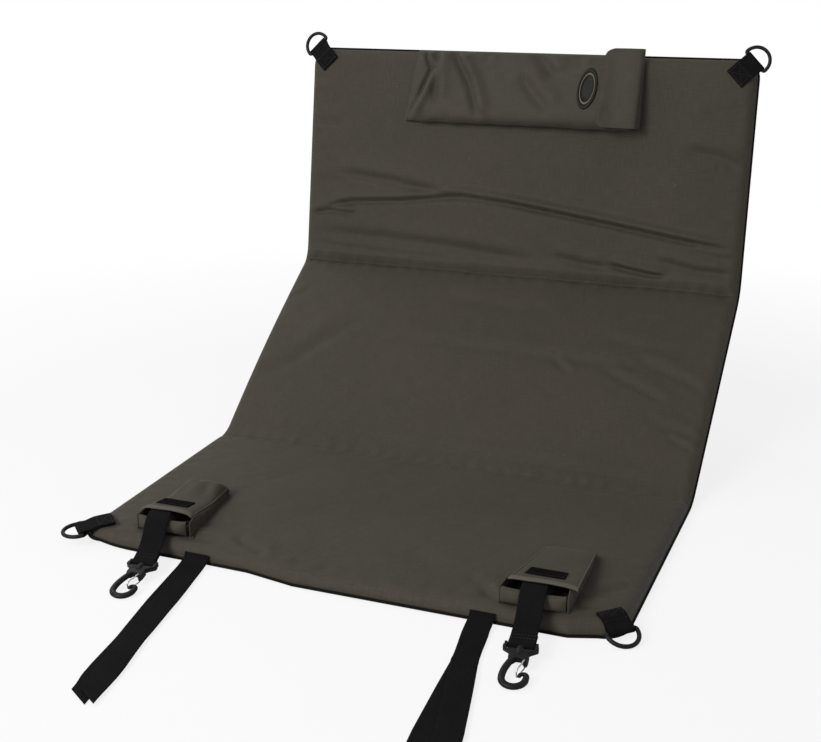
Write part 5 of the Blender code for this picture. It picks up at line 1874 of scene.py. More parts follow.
@dataclass(frozen=True)
class HookPouch:
    """A sewn pouch on the front panel with a flap over it, and the hook strap that it holds."""

    side: Side
    x: float
    front_y: float
    length: float
    front_half: float
    rear_half: float
    flap_x: float
    flap_length: float
    flap_front: float
    flap_rear: float
    strap_x: float
    tail_yaw: float
    clip_turn: float
    dome: float
    droop: float
    open_gap: float
    rear_round: float
    tail_frame: Matrix
    shape: MatShape = MatShape()
    lip_height: float = 0.0365
    lip_length: float = 0.020
    flap_top: float = 0.0430
    flap_thickness: float = 0.002
    webbing: float = 0.0015
    strap_width: float = 0.027
    tail_length: float = 0.0648
    clip_bar: float = 0.0125
    pivot_height: float = 0.0394
    pivot_reach: float = 0.0033

    @property
    def rear_y(self) -> float:
        """The pouch's rear edge."""
        return self.front_y + self.length

    def floor(self, y: np.ndarray) -> np.ndarray:
        """Height of the mat's top under the pouch."""
        return self.shape.top(np.asarray(y, float) + 0.1745 - 0.0043 + 0.0120)

    def flap_line(self, t: np.ndarray) -> tuple[np.ndarray, np.ndarray]:
        """The flap's plain slope: its Y and Z at a share of its length from the rear."""
        under = 0.0286
        slope = math.asin((self.flap_top - under) / self.flap_length)
        return self.rear_y - t * self.flap_length * math.cos(slope), under + t * self.flap_length * math.sin(slope)

    def sewn_drop(self, t: np.ndarray) -> np.ndarray:
        """How far the flap comes down to the mat at its sewn rear edge."""
        return -(0.0286 - self.floor(np.array([self.rear_y]))[0] - 0.0011) * (1 - eased(t, 0.0, 0.13))

    def bulge(self, t: np.ndarray) -> np.ndarray:
        """How far the flap's rear stands out over its plain slope, with the walls under it."""
        return 0.62 * self.dome * np.exp(-(((t - 0.20) / 0.17) ** 2)) * eased(t, 0.0, 0.12)

    def rim(self, y: np.ndarray) -> np.ndarray:
        """Height of the walls' upper edge, just under the flap."""
        t = np.clip((self.rear_y - y) / self.flap_length, 0.0, 1.0)
        under = self.flap_line(t)[1] + self.sewn_drop(t) - self.flap_thickness - 0.0004
        under = under - 0.75 * self.droop * eased(t, 0.02, 0.25) * (1 - eased(t, 0.8, 1.0))
        under = np.maximum(under + self.bulge(t), self.floor(y) + 0.0008)
        share = np.clip((self.front_y + self.lip_length - y) / self.lip_length, 0.0, 1.0)
        return under + share * (self.lip_height + 0.0008 - under)

    def wall_outline(self) -> tuple[np.ndarray, np.ndarray]:
        """The line of the side and rear walls on the mat, and the way out of the pouch along it."""
        fx, rx, r = self.front_half, self.flap_rear - 0.0026, self.rear_round
        fy, ry = self.front_y - 0.0012, self.rear_y - 0.003
        points = [(-fx + (fx - rx) * (y - fy) / (ry - fy), y) for y in np.linspace(fy, ry - r, 26)]
        points += [
            (-rx + r + r * math.cos(t), ry - r + r * math.sin(t)) for t in np.linspace(math.pi, RIGHT_ANGLE, 7)[1:]
        ]
        points += [(x, ry) for x in np.linspace(-rx + r, rx - r, 12)[1:-1]]
        line = np.array(points + [(-x, y) for x, y in reversed(points[:32])])
        share = np.clip((line[:, 1] - fy) / (ry - fy), 0.0, 1.0)
        line[:, 0] += self.x + (self.flap_x - self.x) * eased(share, 0.0, 0.8)
        ahead = np.gradient(line, axis=0)
        out = np.stack([-ahead[:, 1], ahead[:, 0]], axis=1)
        return line, out / np.linalg.norm(out, axis=1)[:, None]

    def build_walls(self, finishes: Finishes) -> bpy.types.Object:
        """Builds the side and rear walls as one standing sheet."""
        line, out = self.wall_outline()
        levels = np.array([0.0, 0.08, 0.2, 0.35, 0.5, 0.65, 0.8, 0.92, 1.0])
        low = self.floor(line[:, 1]) - 0.0012
        high = self.rim(line[:, 1])
        run = np.concatenate([[0.0], np.cumsum(np.linalg.norm(np.diff(line, axis=0), axis=1))])
        net = np.zeros((len(levels), len(line), 3))
        behind_front = eased(line[:, 1] - self.front_y, -0.0012, 0.018)
        for k, level in enumerate(levels):
            height = low + level * (high - low)
            tall = high - low
            swell = 0.0022 * math.sin(math.pi * level) * np.clip(tall / 0.015, 0.3, 1.0)
            crease = 0.0007 * np.sin(run * 2 * math.pi / 0.019 + 3.0 * level) * math.sin(math.pi * level)
            crease += 0.0005 * np.sin(run * 2 * math.pi / 0.0073 + 5.0 * level) * math.sin(math.pi * level)
            seam = -0.0011 * math.exp(-(((level - 0.5) / 0.09) ** 2)) * (np.abs(out[:, 0]) > 0.8)
            turned = -0.0011 * (1 if level > 0.99 else 0)
            foot = 0.0016 * math.exp(-level / 0.06)
            away = (swell + crease + seam + turned) * behind_front + foot * (0.3 + 0.7 * behind_front)
            net[k, :, :2] = line + out * away[:, None]
            net[k, :, 2] = height
        mesh = sheet_from(net, run, levels * 0.02)
        walls = Piece(f"pouch_walls_{self.side.value}", finishes.cover, "cover").make(
            mesh, "front_panel", [f"hook_pouch_{self.side.value}"]
        )
        thicken(walls, 0.0011, 0.0003, -1.0)
        soften(walls)
        return walls

    def build_front_wall(self, finishes: Finishes) -> None:
        """Builds the front wall, which puffs out beside the strap and rolls in over its lip."""
        across = np.linspace(-1.0, 1.0, 41)
        left = self.x - self.front_half + 0.0002
        right = self.x + self.front_half - 0.0002 - self.open_gap
        x = left + (across + 1) / 2 * (right - left)
        floor = float(self.floor(np.array([self.front_y]))[0])
        lip = self.lip_height
        section = [
            (0.0035, -0.0012),
            (0.0002, 0.0005),
            (-0.0026, 0.0035),
            (-0.0036, 0.0075),
            (-0.0031, 0.0115),
            (-0.0012, lip - floor - 0.0009),
            (0.0022, lip - floor - 0.0002),
            (0.0058, lip - floor - 0.0022),
            (0.0085, lip - floor - 0.0062),
        ]
        profile = curve_through([(y, z) for y, z in section], 0.0012)
        pressed = np.exp(-(((x - self.strap_x + 0.001) / 0.0135) ** 4))
        ends = 1 - np.abs(across) ** 7
        puff = (1.45 - 1.05 * pressed) * ends + 0.10 * np.sin(x * 300.0) * (1 - pressed)
        net = np.zeros((len(profile), len(x), 3))
        net[:, :, 0] = x[None, :]
        forward = np.minimum(profile[:, 0], 0.0)[:, None] * puff[None, :] + np.maximum(profile[:, 0], 0.0)[:, None]
        net[:, :, 1] = self.front_y + forward
        sag = (0.0016 * (1 - np.abs(across) ** 4) * (1 - pressed) + 0.0022 * pressed)[None, :]
        rise = eased(profile[:, 1], 0.006, lip - floor)[:, None]
        net[:, :, 2] = floor + profile[:, 1][:, None] - sag * rise
        run = np.concatenate([[0.0], np.cumsum(np.linalg.norm(np.diff(profile, axis=0), axis=1))])
        wall = Piece(f"pouch_front_wall_{self.side.value}", finishes.cover, "cover").make(
            sheet_from(net, x, run), "front_panel"
        )
        thicken(wall, 0.0010, 0.0003)
        soften(wall)

    def flap_net(self, shares: np.ndarray, along: np.ndarray, lift: float, inset: float = 0.0) -> np.ndarray:
        """The flap's surface over its plain slope.

        Args:
            shares: Places across it, -1 to 1.
            along: Shares of its length from the rear.
            lift: A height over the surface.
            inset: How far the sides are drawn in.

        Returns:
            Rows by columns of points.
        """
        y, z = self.flap_line(along)
        half = self.flap_rear + (self.flap_front - self.flap_rear) * along - inset
        short = np.clip(self.rear_round - along * self.flap_length, 0.0, None)
        half = half - 0.8 * (self.rear_round - np.sqrt(self.rear_round**2 - short**2))
        s = np.broadcast_to(shares[None, :], (len(along), len(shares)))
        t = np.broadcast_to(along[:, None], s.shape)
        net = np.zeros((*s.shape, 3))
        net[:, :, 0] = self.flap_x + s * half[:, None]
        net[:, :, 1] = y[:, None]
        rounded = self.bulge(t) + 0.75 * self.dome * np.exp(-(((t - 0.24) / 0.20) ** 2)) * (1 - np.abs(s) ** 3)
        hang = -self.droop * np.abs(s) ** 7 * eased(t, 0.02, 0.25)
        sewn = self.sewn_drop(t)
        crumple = 0.26 * self.dome * (
            0.5 * np.sin(11.0 * s * (1 - t) + 4.0 * t) + 0.5 * np.sin(7.0 * s - 9.0 * t)
        ) * np.exp(-(((t - 0.28) / 0.16) ** 2))
        hollow = -0.0006 * np.exp(-(((t - 0.62) / 0.16) ** 2)) * (1 - s * s)
        wave = 0.0004 * np.sin(4.6 * s + 0.8) * eased(t, 0.85, 1.0)
        net[:, :, 2] = z[:, None] + rounded + hang + sewn + crumple + hollow + wave + lift
        tuck = self.droop * 0.16 * np.abs(s) ** 9 * -np.sign(s) * eased(t, 0.05, 0.3)
        net[:, :, 0] += tuck
        return net

    def bend_flap(self, piece: bpy.types.Object) -> None:
        """Fixes a piece of the flap where it is made; it rides on no body."""
        y, z = self.flap_line(np.array([0.0, 0.10]))
        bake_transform(piece)

    def build_flap(self, finishes: Finishes) -> None:
        """Builds the flap with its hem, seam, fastener patch and stitches; the hem and the seam are painted paler
        olive, a painted highlight.
        """
        side = self.side.value
        body = f"pouch_flap_{side}_body"
        shares = np.sin(np.linspace(-RIGHT_ANGLE, RIGHT_ANGLE, 37))
        along = np.linspace(0.0, 1.0, 53)
        half = self.flap_front
        base = -self.flap_thickness / 2 - 0.0002
        flap = Piece(f"flap_{side}", finishes.cover, "cover").make(
            sheet_from(self.flap_net(shares, along, base), shares * half, along * self.flap_length),
            None,
            [f"pouch_flap_{side}"],
        )
        thicken(flap, 0.0014, 0.0004)
        # The hem's paler olive is a painted highlight on the flap's turned front edge.
        hem = self.band(finishes.hem, f"highlit_flap_hem_{side}", shares, 1.0 - 0.0052 / self.flap_length, 1.003, 0.0003)
        self.bend_flap(flap)
        seam_shares = np.array([0.962, 0.974, 0.986])
        self.side_seam(finishes, seam_shares, body)
        self.patch(finishes, body)
        stitch_y = 1.0 - 0.0062 / self.flap_length
        line = self.flap_net(np.linspace(-0.93, 0.93, 15), np.array([stitch_y]), 0.0003)[0]
        Stitching(finishes.olive_thread, radius=0.0003).sew(f"flap_stitches_{side}", line, (0, 0, 1), body, "cover")

    def band(
        self, finish: bpy.types.Material, name: str, shares: np.ndarray, low: float, high: float, lift: float
    ) -> bpy.types.Object:
        """A folded band across the flap, rounded over its front edge."""
        along = np.linspace(low, high, 6)
        top = self.flap_net(shares, along, lift)
        front = self.flap_net(shares, np.array([high]), lift)[0]
        rows = list(top)
        for turn in np.linspace(RIGHT_ANGLE, -RIGHT_ANGLE, 6)[1:]:
            rows.append(front + np.array([0.0, -0.0011 * math.cos(turn), 0.0011 * (math.sin(turn) - 1)]))
        rows.append(rows[-1] + np.array([0.0, 0.0035, 0.0002]))
        net = np.array(rows)
        run = np.concatenate([[0.0], np.cumsum(np.linalg.norm(np.diff(net[:, len(shares) // 2], axis=0), axis=1))])
        made = Piece(name, finish, "cover").make(
            sheet_from(net, shares * self.flap_front, run), f"pouch_flap_{self.side.value}_body"
        )
        thicken(made, 0.0007, 0.0002)
        return made

    def side_seam(self, finishes: Finishes, shares: np.ndarray, body: str) -> None:
        """Raised seams along the flap's two sides, in the paler hem olive as a painted highlight."""
        along = np.linspace(0.16, 0.985, 34)
        for way, label in ((1.0, "right"), (-1.0, "left")):
            line = self.flap_net(way * shares[1:2], along, 0.0001)[:, 0]
            mesh = sweep(frames_along(line, (0, 0, 1)), [(0.0007, 0.0005)] * len(line), 8)
            # Painted highlight: the seams take the paler hem olive.
            Piece(f"highlit_flap_seam_{self.side.value}_{label}", finishes.hem, "cover").make(mesh, body)

    def patch(self, finishes: Finishes, body: str) -> None:
        """The touch-fastener patch with its stitched border."""
        side = self.side.value
        low = 1.0 - (0.0155 + 0.0200) / self.flap_length
        high = 1.0 - 0.0155 / self.flap_length
        middle = -0.003
        half = 0.021
        x = np.linspace(middle - half, middle + half, 22)
        along = np.linspace(low, high, 10)
        spread = self.flap_rear + (self.flap_front - self.flap_rear) * float(np.mean(along))
        net = self.flap_net(x / spread, along, 0.0005)
        net[:, :, 2] += 0.00012 * np.sin(net[:, :, 0] * 900.0) * np.sin(net[:, :, 1] * 700.0)
        pad = Piece(f"fastener_patch_{side}", finishes.fastener, "patch").make(
            sheet_from(net, x, along * self.flap_length), body, [f"pouch_patch_{side}"]
        )
        thicken(pad, 0.0012, 0.0004)
        rows = {
            "front": [(s, high - 0.012) for s in np.linspace(x[0] + 0.0018, x[-1] - 0.0018, 7)],
            "rear": [(s, low + 0.012) for s in np.linspace(x[0] + 0.0018, x[-1] - 0.0018, 7)],
            "left": [(x[0] + 0.0016, t) for t in np.linspace(low + 0.014, high - 0.014, 5)],
            "right": [(x[-1] - 0.0016, t) for t in np.linspace(low + 0.014, high - 0.014, 5)],
        }
        for label, spots in rows.items():
            line = [self.flap_net(np.array([s / spread]), np.array([t]), 0.0012)[0, 0] for s, t in spots]
            Stitching(finishes.black_thread, radius=0.0003).sew(
                f"patch_stitches_{side}_{label}", line, (0, 0, 1), body, "patch"
            )

    def strap_path(self) -> tuple[np.ndarray, np.ndarray]:
        """The hook strap: from inside the pouch, over its lip and down to the clip, then back beneath."""
        pivot_y = self.front_y - self.pivot_reach
        lift = 0.0012 + 0.0003 + self.webbing / 2 + 0.0006
        rear = self.rear_y - 0.016
        end = self.front_y + 0.060
        path = [(y, float(self.floor(np.array([y]))[0]) + lift) for y in (rear, (rear + end) / 2, end)]
        path += [(self.front_y + y, z) for y, z in ((0.034, 0.0325), (0.015, 0.0390), (0.004, 0.0400))]
        points, turns = [], []
        for y, z in path:
            run = y - pivot_y
            points.append((self.strap_x - math.tan(self.tail_yaw) * min(run, 0.020), y, z))
            turns.append(self.tail_yaw * max(1 - run / 0.020, 0.0))
        bar = self.clip_bar - self.pivot_height
        loop = 0.0025 + self.webbing / 2
        start = -self.webbing / 2
        stop = bar + loop
        shares = ((0.02, 0.01), (0.10, 0.11), (0.24, 0.42), (0.45, 0.74), (0.70, 0.93), (0.88, 0.99), (1.0, 1.0))
        for reach, drop in shares:
            place = self.tail_frame @ Vector((0.0, -self.tail_length * reach, start + drop * (stop - start)))
            points.append(place[:])
            turns.append(self.tail_yaw + self.clip_turn * reach)
        for turn in np.linspace(RIGHT_ANGLE, -RIGHT_ANGLE, 9)[1:]:
            away = Vector((0.0, -self.tail_length - loop * math.cos(turn), bar + loop * math.sin(turn)))
            points.append((self.tail_frame @ away)[:])
            turns.append(self.tail_yaw + self.clip_turn)
        for back, height in ((0.004, -loop + 0.0006), (0.009, -loop + 0.0030), (0.020, -loop + 0.0042)):
            under = Vector((0.0, -self.tail_length + back, bar + height))
            points.append((self.tail_frame @ under)[:])
            turns.append(self.tail_yaw + self.clip_turn * (1 - back / self.tail_length))
        stacked = np.column_stack([np.array(points), np.array(turns) * 0.001])
        line = curve_through(stacked, 0.0014)
        return line[:, :3], line[:, 3] * 1000

    def build_strap(self, finishes: Finishes) -> None:
        """Builds the hook strap with the stitches that close its loop."""
        side = self.side.value
        path, turns = self.strap_path()
        halves = np.stack([np.cos(turns), np.sin(turns), np.zeros(len(turns))], axis=1) * self.strap_width / 2
        net_maker = Strap(finishes.webbing)
        strap = net_maker.weave(
            f"hook_strap_{side}", path, halves, None, [f"hook_strap_root_{side}", f"hook_strap_tail_{side}"]
        )
        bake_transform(strap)
        body = f"hook_strap_{side}_body"
        bar = self.clip_bar - self.pivot_height
        loop = 0.0025 + self.webbing
        for label, back in (("front", 0.0075), ("rear", 0.0125)):
            reach = 1 - back / self.tail_length
            drop = float(np.interp(reach, [0.70, 0.88, 1.0], [0.93, 0.99, 1.0]))
            height = -self.webbing / 2 + drop * (bar + loop - self.webbing / 2 + self.webbing / 2)
            turn = self.clip_turn * reach
            line = []
            for across in np.linspace(-0.0115, 0.0115, 5):
                point = Vector((across * math.cos(turn), -self.tail_length + back + across * math.sin(turn), height + 0.0011))
                line.append((self.tail_frame @ point)[:])
            Stitching(finishes.black_thread).sew(f"strap_stitches_{side}_{label}", line, (0, 0, 1), body)

    def build(self, finishes: Finishes) -> None:
        """Builds the pouch, its flap and its strap."""
        self.build_walls(finishes)
        self.build_front_wall(finishes)
        self.build_flap(finishes)
        self.build_strap(finishes)


@dataclass(frozen=True)
class RearPocket:
    """The sleeve along the rear edge with the flap over its mouth, and the badge on its face."""

    badge_frame: Matrix
    shape: MatShape = MatShape()
    left: float = -0.170
    mouth: float = 0.168
    height: float = 0.100
    puff: float = 0.025
    panel_length: float = 0.311
    surface: float = -0.0002
    wall: float = 0.0011
    flap_left: float = 0.123
    flap_right: float = 0.1765
    flap_low: float = -0.001
    flap_stand: float = 0.006

    PROFILE = (
        (0.30, 0.03),
        (0.02, 0.01),
        (-0.035, 0.30),
        (-0.03, 0.66),
        (0.035, 0.93),
        (0.13, 0.99),
        (0.35, 0.80),
        (0.60, 0.58),
        (0.86, 0.36),
        (0.950, 0.18),
        (0.968, -0.10),
        (0.86, 0.015),
        (0.60, 0.03),
    )
    FOLDS = (
        Wrinkle(((-0.160, 0.108), (-0.131, 0.071), (-0.165, -0.004)), 0.0060, 0.0048, 0.9),
        Wrinkle(((-0.123, 0.105), (-0.121, 0.020)), 0.0048, 0.0058, 0.6),
        Wrinkle(((-0.108, 0.112), (-0.069, 0.050), (-0.048, -0.004)), 0.0060, 0.0056, 0.8),
        Wrinkle(((0.014, 0.110), (0.056, 0.060)), 0.0042, 0.0080, 0.6),
        Wrinkle(((0.002, 0.068), (0.026, 0.040), (0.056, 0.012)), 0.0036, 0.0080, 0.6),
        Wrinkle(((-0.040, 0.098), (-0.052, 0.080)), 0.0014, 0.005),
        Wrinkle(((0.086, 0.098), (0.092, 0.080)), 0.0012, 0.006),
    )

    @property
    def bottom(self) -> float:
        """The pocket's lower edge, along the panel."""
        return self.panel_length - self.height

    def place(self, x: np.ndarray, v: np.ndarray, w: np.ndarray) -> np.ndarray:
        """Points of the part from places across and along the rear panel and heights over it."""
        y, z = self.shape.path.lay(self.shape.path.middle_length + v.reshape(-1), w.reshape(-1))
        return np.stack([x.reshape(-1), y, z], axis=1).reshape(*x.shape, 3)

    def build_sleeve(self, finishes: Finishes) -> bpy.types.Object:
        """Builds the puffed sleeve, closed at its left end and open at its right."""
        loop = curve_through([(v * self.height, w * self.puff) for v, w in (*self.PROFILE, self.PROFILE[0])], 0.0026)
        loop = np.vstack([loop[:-1], loop[:1]])
        x = np.concatenate([np.linspace(0.0, 0.03, 12), np.linspace(0.03, 1.0, 108)[1:]])
        x = self.left + x * (self.mouth - self.left)
        share = (x - self.left) / (self.mouth - self.left)
        scale = table(((0.0, 0.05), (0.012, 0.30), (0.05, 0.66), (0.18, 0.93), (0.40, 1.0), (1.0, 1.0)), share)
        column, row = np.meshgrid(x, np.arange(len(loop)))
        v = loop[row, 0]
        w = loop[row, 1]
        front = eased(w, 0.10 * self.puff, 0.32 * self.puff) * (v > -0.002) * (v < 0.0945)
        front_side = eased(w, 0.06 * self.puff, 0.2 * self.puff)
        fold = 1.25 * sum((f.height(column, v) for f in self.FOLDS), np.zeros(v.shape))
        uneven = 0.0009 * slow_noise(column, v, 0.10, 71) + 0.0003 * slow_noise(column, v, 0.03, 72)
        w = np.where(w > 0, w * scale[None, :], w) + (fold + uneven) * front
        v = v + 0.0010 * np.sin(column * 2 * math.pi / 0.062 + 1.0) * (loop[row, 0] > 0.09) * front_side
        v = v + 0.0009 * slow_noise(column, np.zeros(v.shape), 0.06, 73) * (loop[row, 0] < 0.0) * front_side
        drawn = 0.017 * np.clip(v / self.height, 0.0, 1.0) * np.clip(1 - share / 0.12, 0.0, 1.0)[None, :]
        net = self.place(column + drawn, self.bottom + v, self.surface + w)
        run = np.concatenate([[0.0], np.cumsum(np.linalg.norm(np.diff(loop, axis=0), axis=1))])
        mesh = sheet_from(net, x, run)
        bmesh.ops.remove_doubles(mesh, verts=mesh.verts, dist=1e-6)
        left_edge = [e for e in mesh.edges if e.is_boundary and e.verts[0].co.x < self.left + 0.02]
        bmesh.ops.contextual_create(mesh, geom=left_edge)
        bmesh.ops.triangulate(mesh, faces=[f for f in mesh.faces if len(f.verts) > 4])
        bmesh.ops.recalc_face_normals(mesh, faces=mesh.faces)
        sleeve = Piece("rear_sleeve", finishes.pocket, "cover").make(mesh, "rear_panel", ["rear_pocket"])
        thicken(sleeve, self.wall, 0.0, -1.0)
        return sleeve

    def face_height(self, v: np.ndarray) -> np.ndarray:
        """The height of the sleeve's front face over the panel."""
        share = np.clip(v / self.height, 0.12, None)
        return self.puff * (1 - (share - 0.12) * 0.66 / 0.76)

    def build_end_flap(self, finishes: Finishes) -> None:
        """Builds the flap that folds round the mouth and lies on the face."""
        v = np.linspace(0.0, 1.0, 40)
        v = self.flap_low + v * (self.height + self.flap_stand - self.flap_low)
        height = self.face_height(v) + 0.0024
        corner = 0.0055
        reach = self.flap_right - self.flap_left
        steps = np.linspace(0.0, 1.0, 44)
        net = np.zeros((len(v), len(steps), 3))
        lengths = []
        for k, (along, tall) in enumerate(zip(v, height)):
            section = [(-0.0009, 0.0004), (-0.0009, tall * 0.5), (-0.0009, tall - corner)]
            for turn in np.linspace(0.0, RIGHT_ANGLE, 6)[1:]:
                section.append((-0.0009 - corner * (1 - math.cos(turn)), tall - corner + corner * math.sin(turn)))
            top_share = np.clip((along - (self.height + self.flap_stand - 0.012)) / 0.012, 0.0, 1.0)
            rounding = 0.012 * (1 - math.sqrt(max(1 - top_share**2, 0.0)))
            low_share = np.clip((self.flap_low + 0.008 - along) / 0.008, 0.0, 1.0)
            rounding += 0.006 * (1 - math.sqrt(max(1 - low_share**2, 0.0)))
            end = -reach + rounding
            for share in np.linspace(0.25, 1.0, 6):
                section.append((-corner + (end + corner) * share, tall + 0.0006 * math.sin(share * 7.0)))
            line = curve_through(section, 0.0006)
            run = np.concatenate([[0.0], np.cumsum(np.linalg.norm(np.diff(line, axis=0), axis=1))])
            at = steps * run[-1]
            net[k, :, 0] = self.flap_right + np.interp(at, run, line[:, 0])
            net[k, :, 2] = np.interp(at, run, line[:, 1])
            lengths.append(run[-1])
        share_v = (v - v[0]) / (v[-1] - v[0])
        s, t = np.meshgrid(steps, share_v)
        curl = 0.0035 * eased(s, 0.55, 1.0) * np.exp(-((t / 0.16) ** 2))
        lift = 0.0026 * eased(s, 0.7, 1.0) * np.sin(3.0 * t + 0.5)
        trough = Wrinkle(((0.60, 0.16), (0.85, 0.20), (0.98, 0.10)), 0.0016, 0.07, 0.9).height(s, t)
        net[:, :, 2] += self.surface + curl + lift + trough
        net[:, :, 1] = self.bottom + v[:, None]
        placed_net = self.place(net[:, :, 0], net[:, :, 1], net[:, :, 2])
        mesh = sheet_from(placed_net, steps * float(np.mean(lengths)), v)
        flap = Piece("mouth_flap", finishes.pocket, "cover").make(mesh, "pocket_end_flap_body", ["pocket_end_flap"])
        thicken(flap, 0.0013, 0.0004)
        soften(flap)
        for label, edge in (("upper", 0.962), ("lower", 0.035)):
            k = int(round(edge * (len(v) - 1)))
            line = placed_net[k, 14:40:3] + np.array(self.shape.path.normal(0.6)[:]) * 0.0008
            Stitching(finishes.olive_thread, radius=0.0003).sew(
                f"mouth_stitches_{label}", line, self.shape.path.normal(0.6), "pocket_end_flap_body", "cover"
            )

    def build_badge(self, finishes: Finishes) -> None:
        """Builds the plain oval badge with a raised rim and an inner ring."""
        rings = (
            (1.0, 0.0),
            (1.0, 0.6),
            (0.985, 0.88),
            (0.94, 1.0),
            (0.87, 1.0),
            (0.83, 0.86),
            (0.81, 0.62),
            (0.76, 0.56),
            (0.745, 0.74),
            (0.71, 0.78),
            (0.67, 0.74),
            (0.655, 0.56),
            (0.40, 0.60),
            (0.20, 0.62),
        )
        tilt = Matrix.Rotation(math.radians(-6), 4, "Z")
        frames = [Matrix.Translation((0.0, 0.0, 0.0006 + level * 0.0019)) for _, level in rings]
        halves = [(0.0135 * share, 0.0290 * share) for share, _ in rings]
        mesh = sweep(frames, halves, 64)
        co = np.array([v.co[:] for v in mesh.verts])
        share = np.hypot(co[:, 0] / 0.0135, co[:, 1] / 0.0290)
        write_map(mesh, share, np.arctan2(co[:, 1], co[:, 0]))
        Piece("oval_badge", finishes.badge, "badge").make(
            mesh, "rear_panel", ["badge"], place=self.badge_frame @ tilt
        )

    def build(self, finishes: Finishes) -> None:
        """Builds the pocket with its flap and badge."""
        self.build_sleeve(finishes)
        self.build_end_flap(finishes)
        self.build_badge(finishes)


# ---------------------------------------------------------------- studio


@dataclass(frozen=True)
class Studio:
    """The camera, the lights and the pale floor."""

    eye: tuple[float, float, float] = (0.5937, -1.3898, 0.7078)
    turn: tuple[float, float, float] = (71.34306667, 0.67175391, 21.91799048)
    lens: float = 60.32552
    ambient: float = 0.36

    def build(self) -> None:
        """Builds the studio."""
        self.add_camera()
        self.add_world()
        self.add_lamp("key_light", (-1.7, 0.9, 1.9), 9.0, 1.0)
        self.add_lamp("fill_light", (-1.0, -2.1, 1.7), 50.0, 1.2)
        self.add_floor()
        bpy.context.scene.view_settings.view_transform = "Standard"

    def add_camera(self) -> None:
        """Sets the camera at the photograph's place."""
        data = bpy.data.cameras.new("camera")
        data.lens = self.lens
        data.sensor_width = 36.0
        camera = bpy.data.objects.new("camera", data)
        camera.location = self.eye
        camera.rotation_euler = [math.radians(a) for a in self.turn]
        bpy.context.scene.collection.objects.link(camera)
        bpy.context.scene.camera = camera

    def add_world(self) -> None:
        """Lights evenly from all round, and shows white to the eye and in reflections."""
        world = bpy.data.worlds.new("studio")
        world.use_nodes = True
        bpy.context.scene.world = world
        nodes = NodeBuilder(world.node_tree)
        seen = nodes.add("ShaderNodeLightPath")
        shown = nodes.math("MAXIMUM", seen.outputs["Is Camera Ray"], seen.outputs["Is Transmission Ray"])
        shown = nodes.math("MAXIMUM", shown, nodes.math("MULTIPLY", seen.outputs["Is Glossy Ray"], 0.5))
        background = world.node_tree.nodes["Background"]
        background.inputs["Color"].default_value = (1.0, 1.0, 1.0, 1.0)
        nodes.link(nodes.spread(shown, 0.0, 1.0, self.ambient, 1.0), background.inputs["Strength"])

    def add_lamp(self, name: str, place: tuple[float, float, float], power: float, size: float) -> None:
        """Adds a soft square lamp that faces the mat."""
        data = bpy.data.lights.new(name, "AREA")
        data.energy = power
        data.size = size
        lamp = bpy.data.objects.new(name, data)
        lamp.location = place
        lamp.rotation_euler = (Vector((0.0, 0.15, 0.15)) - Vector(place)).to_track_quat("-Z", "Y").to_euler()
        bpy.context.scene.collection.objects.link(lamp)

    def add_floor(self) -> None:
        """Lays the pale floor, which keeps the mat's shadow."""
        mesh = bmesh.new()
        bmesh.ops.create_grid(mesh, x_segments=2, y_segments=2, size=6.0)
        bmesh.ops.translate(mesh, verts=mesh.verts, vec=(0.0, 0.0, -0.0004))
        data = bpy.data.meshes.new("floor")
        mesh.to_mesh(data)
        mesh.free()
        floor = bpy.data.objects.new("floor", data)
        bpy.context.scene.collection.objects.link(floor)
        finish = bpy.data.materials.new("pale floor")
        finish.use_nodes = True
        nodes = NodeBuilder(finish.node_tree)
        shader = finish.node_tree.nodes["Principled BSDF"]
        shader.inputs["Base Color"].default_value = (0.86, 0.86, 0.86, 1.0)
        shader.inputs["Roughness"].default_value = 0.9
        glow = nodes.add("ShaderNodeEmission")
        seen = nodes.add("ShaderNodeLightPath")
        shown = nodes.math("MAXIMUM", seen.outputs["Is Camera Ray"], seen.outputs["Is Transmission Ray"])
        mix = nodes.add("ShaderNodeMixShader")
        place = nodes.add("ShaderNodeTexCoord")
        away = nodes.add("ShaderNodeVectorMath", operation="LENGTH")
        nodes.link(place.outputs["Object"], away.inputs[0])
        share = nodes.spread(away.outputs["Value"], 0.75, 1.5, 0.82, 1.0)
        nodes.link(nodes.math("MULTIPLY", shown, share), mix.inputs[0])
        nodes.link(shader.outputs[0], mix.inputs[1])
        nodes.link(glow.outputs[0], mix.inputs[2])
        nodes.link(mix.outputs[0], finish.node_tree.nodes["Material Output"].inputs["Surface"])
        data.materials.append(finish)


# ---------------------------------------------------------------- the whole part


